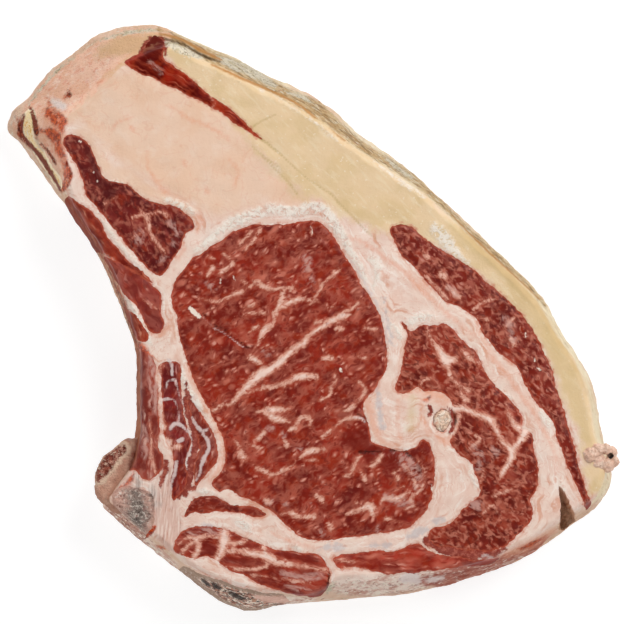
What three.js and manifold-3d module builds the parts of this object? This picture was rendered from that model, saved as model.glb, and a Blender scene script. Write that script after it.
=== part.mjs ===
// A bone-in rib steak, raw and dry aged, lying flat with its cut face up.
// Millimetres, +Z up. The origin is under the middle of the steak, on what it lies on.
//
// The steak is one slab of meat: a side wall that leans in from the waist to the cut face, and a
// gently uneven face. Each muscle and bone runs right through the slab, so it is the part of the
// slab inside its own outline, and the fat is what is left between them.

import * as THREE from "three";
import { mergeVertices } from "three/addons/utils/BufferGeometryUtils.js";
import Module from "manifold-3d";

const wasm = await Module();
wasm.setup();

// Driving dimensions
const LENGTH = 245; // across the steak, from the rib tip to the far edge of the fat cap
const THICKNESS = 44; // from what it lies on to the cut face
const WAIST = 12; // height at which the side wall stands out furthest
const FOOT_TUCK = 2.4; // how far the underside draws in from the waist
const SHOULDER = 1.8; // rounding of the edge of the cut face
const SEAM = 0.3; // gap between neighbouring pieces
const NOTCH_FLOOR = 15; // height of the bottom of the cleft between the two fat flaps
const RIB_BONE_HEIGHT = 36; // the sawn rib ends below the cut face
const SCRAP_HEIGHT = 42.6; // middle of the loose scrap where it leaves the edge of the fat cap
const SCRAP_DROOP = 0.3; // how much the scrap sinks for each millimetre outwards
const SCRAP_FLATNESS = 0.8; // height of a lobe of the scrap against its width
const SCRAP_HOLE = 1.1; // radius of the hole through that scrap

// The plan is drawn on a sheet of small squares, u to the right and v downwards.
const SQUARES_LONG = 612; // the length of the steak on the sheet
const SQUARE = LENGTH / SQUARES_LONG;
const ORIGIN = [311.5, 317.3]; // the point of the sheet under the middle of the steak
const SIGHT = [312, 312]; // the point that the plan was drawn straight above
const WAIST_SPREAD = 1.016; // the waist lies deeper, so the plan shows it this much too small

// How finely the shapes are faceted
const STEPS_PER_RIM_POINT = 3;
const OUTLINE_STEP = 4.5;
const FACE_STEP = 9;
const WELD = 1e-4;
const SHARPEST_CORNER = 3; // a corner moves at most this many times the distance of a straight
const LOBE_SIDES = 8;
const LOBE_BANDS = 5;

// The wall from the underside up: its height, how far it has leant from the waist's outline to
// the face's, and how far it draws in besides
const WALL = THICKNESS - SHOULDER - WAIST;
const PROFILE = [
  { z: 0, lean: 0, tuck: FOOT_TUCK },
  { z: WAIST * 0.2, lean: 0, tuck: FOOT_TUCK * 0.35 },
  { z: WAIST, lean: 0, tuck: 0 },
  { z: WAIST + WALL * 0.45, lean: 0.36, tuck: 0 },
  { z: WAIST + WALL * 0.8, lean: 0.74, tuck: 0 },
  { z: THICKNESS - SHOULDER, lean: 1, tuck: 0 },
  { z: THICKNESS + SHOULDER, lean: 1, tuck: SHOULDER * 2 },
];
const ABOVE = THICKNESS * 1.2; // clear above the whole steak
const BELOW = -1; // and clear below it

// Heights of the uneven cut face: mounds and hollows with their place on the sheet, reach and rise
const MOUNDS = [
  { at: [300, 390], reach: 62, rise: 1.6 }, // the eye
  { at: [490, 460], reach: 34, rise: 1.0 }, // the cap
  { at: [130, 210], reach: 24, rise: 0.8 }, // the rib muscle
  { at: [230, 165], reach: 30, rise: 0.7 }, // the kernel of fat
  { at: [540, 350], reach: 30, rise: -0.9 }, // the fat cap falls away outside the strip
  { at: [140, 520], reach: 20, rise: -2.4 }, // the spine bone lies a little lower
  { at: [410, 580], reach: 24, rise: -1.6 }, // the dried edge along the bottom
  { at: [80, 130], reach: 16, rise: -1.2 }, // towards the slanted end
];

// The side wall: each row is a point of the waist, and the point of the face's edge above it
const RIM = [
  [8, 130, 60, 133], [12, 112, 62, 124], [30, 95, 68, 115], [50, 72, 86, 100], [80, 48, 105, 81],
  [100, 34, 119, 67], [125, 27, 138, 57], [155, 25, 160, 49], [178, 34, 172, 45], [200, 44, 194, 56],
  [235, 58, 228, 71], [263, 74, 256, 86], [300, 90, 293, 104], [330, 108, 322, 121],
  [360, 135, 352, 146], [400, 163, 393, 173], [430, 189, 425, 195], [470, 226, 465, 232],
  [510, 264, 505, 269], [540, 295, 535, 299], [562, 333, 557, 335], [590, 380, 584, 382],
  [603, 441, 596, 441], [611, 477, 604, 476], [600, 503, 594, 498], [569, 527, 563, 519],
  [521, 559, 516, 548], [461, 581, 458, 568], [411, 593, 409, 575], [372, 597, 371, 579],
  [336, 600, 336, 582], [312, 602, 314, 594], [279, 605, 282, 593], [250, 610, 255, 591],
  [219, 600, 228, 584], [189, 578, 198, 571], [159, 555, 166, 547], [123, 525, 130, 518],
  [103, 505, 111, 499], [111, 489, 118, 487], [126, 468, 132, 468], [134, 445, 139, 445],
  [137, 421, 141, 421], [137, 392, 141, 392], [136, 352, 140, 352], [129, 328, 134, 326],
  [117, 297, 123, 294], [103, 265, 109, 261], [78, 224, 84, 219], [60, 198, 70, 196],
  [40, 170, 64, 176], [20, 143, 61, 152],
];

// The pieces that run through the slab: their outlines on the sheet, and their colours
const MEAT = 0x7d2c26;
const DARK_MEAT = 0x6a2a28;
const BONE = 0x9a8472;
const PIECES = {
  eye_muscle: {
    colour: MEAT,
    outline: [
      [172, 292], [176, 280], [190, 262], [210, 248], [230, 234], [251, 225], [280, 225], [308, 220],
      [328, 229], [342, 250], [356, 275], [370, 298], [381, 322], [387, 352], [384, 373], [372, 392],
      [363, 407], [368, 424], [374, 443], [392, 449], [411, 449], [425, 439], [434, 456], [433, 490],
      [427, 509], [410, 526], [385, 533], [350, 537], [315, 541], [297, 534], [281, 520], [270, 511],
      [255, 502], [240, 496], [228, 489], [218, 490], [211, 483], [221, 471], [225, 457], [223, 438],
      [214, 420], [207, 405], [195, 383], [187, 362], [180, 338], [177, 318], [172, 303],
    ],
  },
  cap_muscle: {
    colour: MEAT,
    outline: [
      [402, 322], [410, 330], [425, 326], [447, 325], [460, 338], [474, 350], [485, 370], [494, 385],
      [511, 401], [522, 418], [521, 428], [529, 432], [534, 450], [538, 468], [536, 488], [531, 500],
      [534, 508], [529, 522], [515, 538], [498, 550], [478, 552], [455, 548], [435, 545], [427, 537],
      [433, 529], [449, 524], [460, 513], [470, 503], [479, 497], [479, 487], [474, 472], [470, 463],
      [460, 456], [450, 442], [455, 425], [453, 410], [449, 397], [438, 391], [424, 392], [417, 387],
      [404, 394], [396, 390], [401, 366], [406, 345], [407, 336],
    ],
  },
  outer_strip_muscle: {
    colour: MEAT,
    outline: [
      [391, 228], [400, 225], [415, 231], [438, 248], [470, 267], [492, 287], [508, 299], [521, 313],
      [538, 339], [550, 365], [560, 398], [570, 432], [580, 464], [591, 506], [589, 512], [581, 491],
      [568, 466], [557, 438], [553, 422], [537, 404], [526, 385], [514, 364], [498, 352], [484, 336],
      [474, 316], [458, 307], [440, 297], [425, 280], [415, 267], [398, 249],
    ],
  },
  wedge_muscle: {
    colour: MEAT,
    outline: [
      [125, 62], [138, 54], [147, 42], [154, 32], [161, 38], [163, 50], [165, 62], [182, 74],
      [205, 94], [225, 107], [248, 126], [262, 138], [257, 141], [240, 130], [210, 111], [180, 96],
      [150, 81], [135, 73],
    ],
  },
  rib_muscle: {
    colour: DARK_MEAT,
    outline: [
      [68, 134], [80, 136], [92, 149], [107, 180], [125, 184], [150, 202], [172, 206], [190, 217],
      [195, 226], [184, 237], [179, 252], [168, 266], [160, 277], [143, 263], [120, 237], [105, 217],
      [90, 203], [81, 192], [75, 162],
    ],
  },
  rib_strip_muscle: {
    colour: DARK_MEAT,
    outline: [
      [103, 257], [125, 266], [148, 281], [160, 293], [162, 315], [164, 327], [158, 333], [149, 330],
      [140, 312], [125, 294], [111, 274],
    ],
  },
  edge_strip_upper: {
    colour: MEAT,
    outline: [
      [66, 196], [80, 203], [97, 217], [108, 237], [122, 254], [140, 270], [154, 284], [136, 274],
      [120, 263], [102, 253], [80, 252], [60, 215],
    ],
  },
  edge_strip_lower: {
    colour: MEAT,
    outline: [[122, 306], [131, 312], [140, 321], [149, 340], [140, 342], [132, 333], [125, 318]],
  },
  side_muscle_outer: {
    colour: DARK_MEAT,
    outline: [
      [122, 352], [144, 351], [154, 362], [157, 380], [158, 400], [159, 418], [160, 436], [158, 446],
      [163, 456], [161, 473], [151, 479], [143, 478], [134, 472], [118, 472], [116, 400],
    ],
  },
  side_muscle_middle: {
    colour: DARK_MEAT,
    outline: [
      [161, 364], [171, 361], [179, 364], [181, 384], [183, 408], [188, 428], [190, 446], [186, 463],
      [188, 478], [183, 491], [174, 500], [170, 488], [174, 466], [172, 452], [165, 440], [163, 420],
      [162, 395],
    ],
  },
  side_muscle_inner: {
    colour: MEAT,
    outline: [
      [187, 399], [196, 406], [206, 422], [213, 433], [218, 447], [216, 460], [209, 471], [202, 480],
      [196, 486], [194, 474], [195, 463], [199, 449], [196, 432], [190, 415],
    ],
  },
  lower_strip_muscle: {
    colour: MEAT,
    outline: [
      [184, 517], [188, 505], [196, 498], [215, 496], [232, 505], [252, 506], [266, 514], [256, 517],
      [238, 512], [215, 512], [196, 513],
    ],
  },
  bottom_muscle_left: {
    colour: MEAT,
    outline: [
      [174, 543], [182, 533], [196, 526], [222, 528], [243, 536], [263, 546], [290, 551], [318, 556],
      [326, 563], [331, 575], [327, 589], [319, 599], [300, 596], [280, 591], [262, 585], [248, 577],
      [230, 570], [218, 562], [205, 555], [193, 559], [182, 556], [173, 550],
    ],
  },
  bottom_muscle_right: {
    colour: MEAT,
    outline: [
      [333, 559], [350, 553], [375, 551], [397, 551], [410, 544], [421, 544], [430, 552], [455, 556],
      [480, 560], [500, 559], [492, 565], [465, 567], [430, 571], [400, 574], [378, 573], [360, 568],
      [338, 568],
    ],
  },
  rib_tip: {
    colour: BONE,
    outline: [
      [20, 112], [30, 106], [35, 120], [32, 134], [46, 156], [62, 185], [57, 189], [40, 166],
      [23, 140], [18, 125],
    ],
  },
  spine_bone: {
    colour: BONE,
    outline: [
      [111, 507], [112, 494], [122, 487], [137, 488], [151, 494], [155, 511], [151, 528], [142, 541],
      [120, 556], [92, 524],
    ],
  },
  chine_bone: {
    colour: BONE,
    outline: [
      [184, 569], [200, 574], [218, 580], [240, 587], [262, 593], [286, 598], [290, 625], [230, 640],
      [170, 590],
    ],
  },
  tendon: {
    colour: 0xd8c9b0,
    outline: [[433, 421], [436, 412], [445, 409], [451, 417], [448, 428], [440, 432]],
  },
};

const FAT = 0xe0c5a8;
const MEAT_GLOSS = 0.45;
const FAT_GLOSS = 0.5;
const BONE_GLOSS = 0.7;

const NOTCH_TAPER = 0.55; // how far the cleft has closed at its bottom
const NOTCH = [[559, 484], [563, 492], [569, 504], [574, 517], [584, 540], [560, 545], [561, 510]];
const RIB_BONE = [
  [93, 480], [98, 464], [112, 449], [131, 438], [150, 440], [150, 480], [125, 515], [108, 509],
  [97, 500],
];
// The lobes of the loose scrap: their place on the sheet, and their radius
const SCRAP_LOBES = [
  { at: [590, 455], radius: 3.2 }, { at: [597, 450], radius: 2.9 }, { at: [599, 462], radius: 3.1 },
  { at: [606, 449], radius: 2.3 }, { at: [613, 452], radius: 2.2 }, { at: [608, 466], radius: 2.8 },
  { at: [615, 462], radius: 2.1 },
];
const SCRAP_HOLE_AT = [611, 456];

// Plan and curves

function place([u, v]) {
  return new THREE.Vector2((u - ORIGIN[0]) * SQUARE, (ORIGIN[1] - v) * SQUARE);
}

function placeWaist([u, v]) {
  const [su, sv] = SIGHT;
  return place([su + (u - su) * WAIST_SPREAD, sv + (v - sv) * WAIST_SPREAD]);
}

// A smooth closed curve through the points.
function closedCurve(points) {
  const through = points.map((p) => new THREE.Vector3(p.x, p.y, 0));
  return new THREE.CatmullRomCurve3(through, true, "centripetal");
}

function flatten(points) {
  return points.map((p) => new THREE.Vector2(p.x, p.y));
}

// The outline of a piece as evenly spaced points, anticlockwise.
function outlineOf(sheetPoints) {
  const curve = closedCurve(sheetPoints.map(place));
  const steps = Math.max(Math.round(curve.getLength() / OUTLINE_STEP), 10);
  const ring = flatten(curve.getSpacedPoints(steps).slice(0, -1));
  return THREE.ShapeUtils.area(ring) < 0 ? ring.reverse() : ring;
}

// The same ring moved outwards by a distance, or inwards if that is negative. A corner moves
// further than a straight stretch, so that its sides keep their distance too.
function grown(ring, distance) {
  const turn = Math.sign(THREE.ShapeUtils.area(ring));
  const outwards = (from, to) => new THREE.Vector2(to.y - from.y, from.x - to.x).normalize();
  return ring.map((point, i) => {
    const before = outwards(ring[(i + ring.length - 1) % ring.length], point);
    const after = outwards(point, ring[(i + 1) % ring.length]);
    const out = before.clone().add(after).normalize();
    const reach = 1 / Math.max(out.dot(before), 1 / SHARPEST_CORNER);
    return point.clone().addScaledVector(out, distance * turn * reach);
  });
}

// Solids

function solidOf(geometry) {
  const bare = geometry.clone();
  bare.deleteAttribute("normal");
  bare.deleteAttribute("uv");
  const welded = mergeVertices(bare, WELD);
  const mesh = new wasm.Mesh({
    numProp: 3,
    vertProperties: welded.attributes.position.array,
    triVerts: new Uint32Array(welded.index.array),
  });
  return new wasm.Manifold(mesh);
}

function prism(ring, bottom, top) {
  const options = { depth: top - bottom, bevelEnabled: false };
  const geometry = new THREE.ExtrudeGeometry(new THREE.Shape(ring), options);
  return solidOf(geometry.translate(0, 0, bottom));
}

// A solid through level rings of equal length, given from the lowest to the highest.
function loft(rings) {
  const count = rings[0].ring.length;
  const positions = rings.flatMap(({ ring, z }) => ring.flatMap((p) => [p.x, p.y, z]));
  const faces = [];
  for (let level = 0; level + 1 < rings.length; level++) {
    for (let i = 0; i < count; i++) {
      const a = level * count + i;
      const b = level * count + ((i + 1) % count);
      faces.push([a, b, b + count], [a, b + count, a + count]);
    }
  }
  const last = (rings.length - 1) * count;
  for (const [a, b, c] of THREE.ShapeUtils.triangulateShape(rings[0].ring, [])) {
    faces.push([a, c, b]);
  }
  for (const [a, b, c] of THREE.ShapeUtils.triangulateShape(rings.at(-1).ring, [])) {
    faces.push([a + last, b + last, c + last]);
  }
  const geometry = new THREE.BufferGeometry();
  geometry.setAttribute("position", new THREE.Float32BufferAttribute(positions, 3));
  geometry.setIndex(faces.flat());
  return solidOf(geometry);
}

// The side wall

// The closed side wall of the steak, with every ring moved outwards by extra.
function sideWall(extra) {
  const around = RIM.length * STEPS_PER_RIM_POINT;
  const waist = flatten(closedCurve(RIM.map(([u, v]) => placeWaist([u, v]))).getPoints(around));
  const edge = flatten(closedCurve(RIM.map((row) => place(row.slice(2)))).getPoints(around));
  // The curves end where they begin, and the plan runs clockwise
  const low = waist.slice(0, -1).reverse();
  const high = edge.slice(0, -1).reverse();
  const rings = PROFILE.map(({ z, lean, tuck }) => {
    const ring = low.map((from, i) => {
      const inwards = high[i].clone().sub(from);
      const leant = from.clone().addScaledVector(inwards, lean);
      return leant.addScaledVector(inwards.normalize(), tuck);
    });
    return { z, ring: grown(ring, extra) };
  });
  return loft(rings);
}

// The cut face

function faceHeight(x, y) {
  let height = THICKNESS;
  for (const { at, reach, rise } of MOUNDS) {
    const middle = place(at);
    const away = Math.hypot(x - middle.x, y - middle.y) / reach;
    height += rise * Math.exp(-away * away);
  }
  return height;
}

// A block as wide as the sheet, with the uneven cut face as its top.
function faceBlock() {
  const width = LENGTH + 4 * SHOULDER;
  const steps = Math.round(width / FACE_STEP);
  const geometry = new THREE.BoxGeometry(width, width, THICKNESS, steps, steps, 1);
  geometry.translate(0, 0, THICKNESS / 2);
  const position = geometry.attributes.position;
  for (let i = 0; i < position.count; i++) {
    const height = faceHeight(position.getX(i), position.getY(i));
    if (position.getZ(i) > THICKNESS / 2) position.setZ(i, height);
  }
  return solidOf(geometry);
}

// The cleft between the two fat flaps narrows downwards.
function notch() {
  const ring = outlineOf(NOTCH);
  const middle = ring.reduce((sum, p) => sum.add(p), new THREE.Vector2()).divideScalar(ring.length);
  const narrow = ring.map((p) => p.clone().lerp(middle, NOTCH_TAPER));
  return loft([{ z: NOTCH_FLOOR, ring: narrow }, { z: ABOVE, ring }]);
}

// The sawn rib beside the slab, fitted against its side wall.
function ribBone() {
  const ring = outlineOf(RIB_BONE);
  const block = loft([
    { z: 0, ring: grown(ring, -SHOULDER) },
    { z: SHOULDER, ring },
    { z: RIB_BONE_HEIGHT - SHOULDER, ring },
    { z: RIB_BONE_HEIGHT, ring: grown(ring, -SHOULDER) },
  ]);
  return block.subtract(sideWall(SEAM));
}

// The loose scrap, with every lobe larger by extra.
function scrap(extra) {
  let whole = null;
  for (const { at, radius } of SCRAP_LOBES) {
    const middle = place(at);
    const sunk = (middle.x - place(SCRAP_LOBES[0].at).x) * SCRAP_DROOP;
    const lobe = new THREE.SphereGeometry(radius + extra, LOBE_SIDES, LOBE_BANDS);
    lobe.rotateX(Math.PI / 2).scale(1, 1, SCRAP_FLATNESS);
    lobe.translate(middle.x, middle.y, SCRAP_HEIGHT - sunk);
    whole = whole ? whole.add(solidOf(lobe)) : solidOf(lobe);
  }
  return whole;
}

function scrapWithHole() {
  const middle = place(SCRAP_HOLE_AT);
  const drill = new THREE.CylinderGeometry(SCRAP_HOLE, SCRAP_HOLE, THICKNESS, LOBE_SIDES);
  drill.rotateX(Math.PI / 2).translate(middle.x, middle.y, SCRAP_HEIGHT);
  return scrap(0).subtract(solidOf(drill));
}

// Only the largest body: crumbs that the cuts leave behind are dropped.
function largest(solid) {
  return solid.decompose().reduce((a, b) => (a.volume() > b.volume() ? a : b));
}

function meshOf(name, solid, colour, roughness) {
  const { vertProperties, triVerts, numProp } = largest(solid).getMesh();
  const geometry = new THREE.BufferGeometry();
  const positions = new THREE.InterleavedBuffer(vertProperties, numProp);
  geometry.setAttribute("position", new THREE.InterleavedBufferAttribute(positions, 3, 0));
  geometry.setIndex(new THREE.BufferAttribute(triVerts, 1));
  const faceted = geometry.toNonIndexed();
  faceted.computeVertexNormals();
  const material = new THREE.MeshStandardMaterial({ color: colour, roughness, metalness: 0 });
  const mesh = new THREE.Mesh(faceted, material);
  mesh.name = name;
  return mesh;
}

// The whole steak

function ribSteak() {
  const steak = new THREE.Group();
  const slab = sideWall(0).intersect(faceBlock());
  let fat = slab.subtract(notch()).subtract(scrap(SEAM));
  for (const [name, { outline, colour }] of Object.entries(PIECES)) {
    const ring = outlineOf(outline);
    fat = fat.subtract(prism(ring, BELOW, ABOVE));
    const piece = slab.intersect(prism(grown(ring, -SEAM), BELOW, ABOVE));
    steak.add(meshOf(name, piece, colour, colour === BONE ? BONE_GLOSS : MEAT_GLOSS));
  }
  steak.add(meshOf("fat", fat, FAT, FAT_GLOSS));
  steak.add(meshOf("rib_bone", ribBone(), BONE, BONE_GLOSS));
  steak.add(meshOf("fat_scrap", scrapWithHole(), FAT, FAT_GLOSS));
  return steak;
}

export default ribSteak();
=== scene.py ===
"""A raw bone-in rib steak: fine flesh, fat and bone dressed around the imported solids."""

import math
from functools import partial

import bmesh
import bpy
import numpy as np
from mathutils import Matrix


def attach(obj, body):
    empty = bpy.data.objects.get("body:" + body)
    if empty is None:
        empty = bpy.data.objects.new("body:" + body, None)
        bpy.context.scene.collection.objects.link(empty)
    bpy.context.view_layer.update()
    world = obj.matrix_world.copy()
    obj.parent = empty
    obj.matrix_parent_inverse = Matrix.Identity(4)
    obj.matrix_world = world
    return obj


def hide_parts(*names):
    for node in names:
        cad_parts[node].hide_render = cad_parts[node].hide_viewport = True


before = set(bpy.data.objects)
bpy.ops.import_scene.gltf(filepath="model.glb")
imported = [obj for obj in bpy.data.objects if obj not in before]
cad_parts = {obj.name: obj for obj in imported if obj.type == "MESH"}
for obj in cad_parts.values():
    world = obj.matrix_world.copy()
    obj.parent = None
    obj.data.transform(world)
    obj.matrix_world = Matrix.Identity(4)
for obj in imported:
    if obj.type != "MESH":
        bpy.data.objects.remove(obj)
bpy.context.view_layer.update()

bl_info = {
    "name": "Bone-in rib steak",
    "version": (1, 0, 0),
    "blender": (4, 5, 0),
    "location": "View3D > Sidebar > Steak",
    "description": "Dresses the solids of a raw bone-in rib steak with fine relief and finishes",
    "category": "Object",
}

MM = 0.001

# The slab, in millimetres, as the solids have it
LENGTH = 245.0
THICKNESS = 44.0
WAIST = 12.0  # height at which the side wall stands out furthest
FOOT_TUCK = 2.4  # how far the underside draws in from the waist
SHOULDER = 2.2  # how far below the face its edge begins to round
NOTCH_FLOOR = 15.0
NOTCH_TAPER = 0.45  # how wide the notch's floor is, as a share of its outline
RIB_BONE_HEIGHT = 36.0
CLEAR = 60.0  # clear above the whole steak
UNDER = -5.0  # clear below it
UNDERSIDE = (0.35, 0.03, 1.5)  # mean, least and greatest height of the underside above the floor
WALL_BOW = 1.25  # 1 would make the side wall straight between its waist and the face
SHOULDER_ROUNDING = 2.6  # the smaller, the rounder the face's edge
WALL_BELOW, WALL_ABOVE = [-0.06], [1.03, 1.06]  # levels beyond the faces, as shares of the height

# The plan is drawn on a sheet of small squares, u to the right and v downwards
SQUARE = LENGTH / 612
ORIGIN = np.array([311.5, 317.3])  # the point of the sheet under the middle of the steak
SIGHT = np.array([312.0, 312.0])  # the point that the plan was drawn straight above
WAIST_SPREAD = 1.016  # the waist lies deeper, so the plan shows it this much too small

# Mounds and hollows of the cut face: place on the sheet, reach and rise in millimetres
MOUNDS = [
    (300, 390, 62, 1.6), (490, 460, 34, 1.0), (130, 210, 24, 0.8), (230, 165, 30, 0.7),
    (540, 350, 30, -0.9), (140, 520, 20, -2.4), (410, 580, 24, -1.6), (80, 130, 16, -1.2),
]

# The side wall: each row is a point of the waist, and the point of the face's edge above it
RIM = [
    (8, 130, 60, 133), (12, 112, 62, 124), (30, 95, 68, 115), (50, 72, 86, 100), (80, 48, 105, 81),
    (100, 34, 119, 67), (125, 27, 138, 57), (155, 25, 160, 49), (178, 34, 172, 45),
    (200, 44, 194, 56), (235, 58, 228, 71), (263, 74, 256, 86), (300, 90, 293, 104),
    (330, 108, 322, 121), (360, 135, 352, 146), (400, 163, 393, 173), (430, 189, 425, 195),
    (470, 226, 465, 232), (510, 264, 505, 269), (540, 295, 535, 299), (562, 333, 557, 335),
    (590, 380, 584, 382), (603, 441, 596, 441), (611, 477, 604, 476), (600, 503, 594, 498),
    (569, 527, 563, 519), (521, 559, 516, 548), (461, 581, 458, 568), (411, 593, 409, 575),
    (372, 597, 371, 579), (336, 600, 336, 582), (312, 602, 314, 594), (279, 605, 282, 593),
    (250, 610, 255, 591), (219, 600, 228, 584), (189, 578, 198, 571), (159, 555, 166, 547),
    (123, 525, 130, 518), (103, 505, 111, 499), (111, 489, 118, 487), (126, 468, 132, 468),
    (134, 445, 139, 445), (137, 421, 141, 421), (137, 392, 141, 392), (136, 352, 140, 352),
    (129, 328, 134, 326), (117, 297, 123, 294), (103, 265, 109, 261), (78, 224, 84, 219),
    (60, 198, 70, 196), (40, 170, 64, 176), (20, 143, 61, 152),
]

# The outlines of the pieces that run through the slab
OUTLINES = {
    "eye_muscle": [
        (172, 292), (176, 280), (190, 262), (210, 248), (230, 234), (251, 225), (280, 225),
        (308, 220), (328, 229), (342, 250), (356, 275), (370, 298), (381, 322), (387, 352),
        (384, 373), (372, 392), (363, 407), (368, 424), (374, 443), (392, 449), (411, 449),
        (425, 439), (434, 456), (433, 490), (427, 509), (410, 526), (385, 533), (350, 537),
        (315, 541), (297, 534), (281, 520), (270, 511), (255, 502), (240, 496), (228, 489),
        (218, 490), (211, 483), (221, 471), (225, 457), (223, 438), (214, 420), (207, 405),
        (195, 383), (187, 362), (180, 338), (177, 318), (172, 303),
    ],
    "cap_muscle": [
        (402, 322), (410, 330), (425, 326), (447, 325), (460, 338), (474, 350), (485, 370),
        (494, 385), (511, 401), (522, 418), (521, 428), (529, 432), (534, 450), (538, 468),
        (536, 488), (531, 500), (534, 508), (529, 522), (515, 538), (498, 550), (478, 552),
        (455, 548), (435, 545), (427, 537), (433, 529), (449, 524), (460, 513), (470, 503),
        (479, 497), (479, 487), (474, 472), (470, 463), (460, 456), (450, 442), (455, 425),
        (453, 410), (449, 397), (438, 391), (424, 392), (417, 387), (404, 394), (396, 390),
        (401, 366), (406, 345), (407, 336),
    ],
    "outer_strip_muscle": [
        (391, 228), (400, 225), (415, 231), (438, 248), (470, 267), (492, 287), (508, 299),
        (521, 313), (538, 339), (550, 365), (560, 398), (570, 432), (575, 449), (580, 470),
        (585, 488), (591, 505), (588, 511), (583, 501), (577, 488), (570, 473), (562, 451),
        (557, 438), (553, 422), (537, 404), (526, 385),
        (514, 364), (498, 352), (484, 336), (474, 316), (458, 307), (440, 297), (425, 280),
        (415, 267), (398, 249),
    ],
    "wedge_muscle": [
        (124, 62), (131, 56), (139, 53), (147, 42), (154, 32), (161, 37), (165, 46), (163, 54),
        (164, 60), (174, 65), (184, 73), (191, 80), (203, 89), (212, 97), (222, 103), (232, 111),
        (243, 121), (252, 129), (262, 139), (254, 136), (243, 128), (230, 120), (215, 110),
        (199, 101), (184, 93), (172, 88), (160, 82), (150, 77), (140, 73), (130, 68),
    ],
    "rib_muscle": [
        (68, 134), (80, 136), (92, 149), (107, 180), (125, 184), (150, 202), (172, 206),
        (190, 217), (195, 226), (184, 237), (179, 252), (168, 266), (160, 277), (143, 263),
        (120, 237), (105, 217), (92, 203), (85, 189), (80, 175), (74, 163), (67, 151), (63, 143),
    ],
    "rib_strip_muscle": [
        (103, 257), (125, 266), (148, 281), (160, 293), (162, 315), (164, 327), (158, 333),
        (149, 330), (140, 312), (125, 294), (111, 274),
    ],
    "edge_strip_upper": [
        (66, 196), (80, 203), (97, 217), (108, 237), (122, 254), (140, 270), (154, 284),
        (136, 274), (120, 263), (102, 253), (80, 252), (60, 215),
    ],
    "edge_strip_lower": [
        (122, 306), (131, 312), (140, 321), (149, 340), (140, 342), (132, 333), (125, 318),
    ],
    "side_muscle_outer": [
        (122, 352), (144, 351), (154, 362), (157, 380), (158, 400), (159, 418), (160, 436),
        (158, 446), (163, 456), (161, 473), (151, 479), (143, 478), (134, 472), (118, 472),
        (116, 400),
    ],
    "side_muscle_middle": [
        (161, 364), (171, 361), (179, 364), (181, 384), (183, 408), (188, 428), (190, 446),
        (186, 463), (188, 478), (183, 491), (174, 500), (170, 488), (174, 466), (172, 452),
        (165, 440), (163, 420), (162, 395),
    ],
    "side_muscle_inner": [
        (187, 399), (196, 406), (206, 422), (213, 433), (218, 447), (216, 460), (209, 471),
        (202, 480), (196, 486), (194, 474), (195, 463), (199, 449), (196, 432), (190, 415),
    ],
    "lower_strip_muscle": [
        (184, 517), (188, 505), (196, 498), (215, 496), (232, 505), (252, 506), (266, 514),
        (256, 517), (238, 512), (215, 512), (196, 513),
    ],
    "bottom_muscle_left": [
        (174, 543), (182, 533), (196, 526), (222, 528), (243, 536), (263, 546), (290, 551),
        (318, 556), (326, 563), (331, 575), (327, 589), (319, 599), (300, 596), (280, 591),
        (262, 585), (248, 577), (230, 570), (218, 562), (205, 555), (193, 559), (182, 556),
        (173, 550),
    ],
    "bottom_muscle_right": [
        (333, 559), (350, 553), (375, 551), (397, 551), (410, 544), (421, 544), (430, 552),
        (455, 556), (480, 560), (500, 559), (492, 565), (465, 567), (430, 571), (400, 574),
        (378, 573), (360, 568), (338, 568),
    ],
    "rib_tip": [
        (20, 112), (30, 106), (35, 120), (32, 134), (46, 156), (62, 185), (57, 189), (40, 166),
        (23, 140), (18, 125),
    ],
    "spine_bone": [
        (111, 507), (112, 494), (122, 487), (137, 488), (151, 494), (155, 511), (151, 528),
        (142, 541), (120, 556), (92, 524),
    ],
    "chine_bone": [
        (184, 569), (200, 574), (218, 580), (240, 587), (262, 593), (286, 598), (290, 625),
        (230, 640), (170, 590),
    ],
    "tendon": [(433, 421), (436, 412), (445, 409), (451, 417), (448, 428), (440, 432)],
}
NOTCH = [(557, 479), (563, 487), (570, 499), (577, 513), (590, 540), (559, 545), (559, 510)]
RIB_BONE = [
    (93, 480), (98, 464), (112, 449), (131, 438), (150, 440), (150, 480), (125, 515), (108, 509),
    (97, 500),
]
# The lobes of the loose scrap: place on the sheet, and radius in millimetres
SCRAP_LOBES = [
    (590, 455, 3.2), (597, 450, 2.9), (599, 462, 3.1), (606, 449, 2.3), (613, 452, 2.2),
    (608, 466, 2.8), (615, 462, 2.1), (611, 457, 1.7),
]
SCRAP_HEIGHT = 43.6
SCRAP_DROOP = 0.3  # how far the lobes drop for each millimetre outwards
SCRAP_FLATNESS = 0.8
SCRAP_HOLE = [(614, 456), (611, 459), (608, 456), (611, 453)]
SCRAP_HOLE_DEPTH = 3.0
SCRAP_GRAIN = 0.32  # size of the grid in which the lobes are joined, in millimetres
SCRAP_SOFTENING = 8  # rounds of smoothing after that

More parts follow.
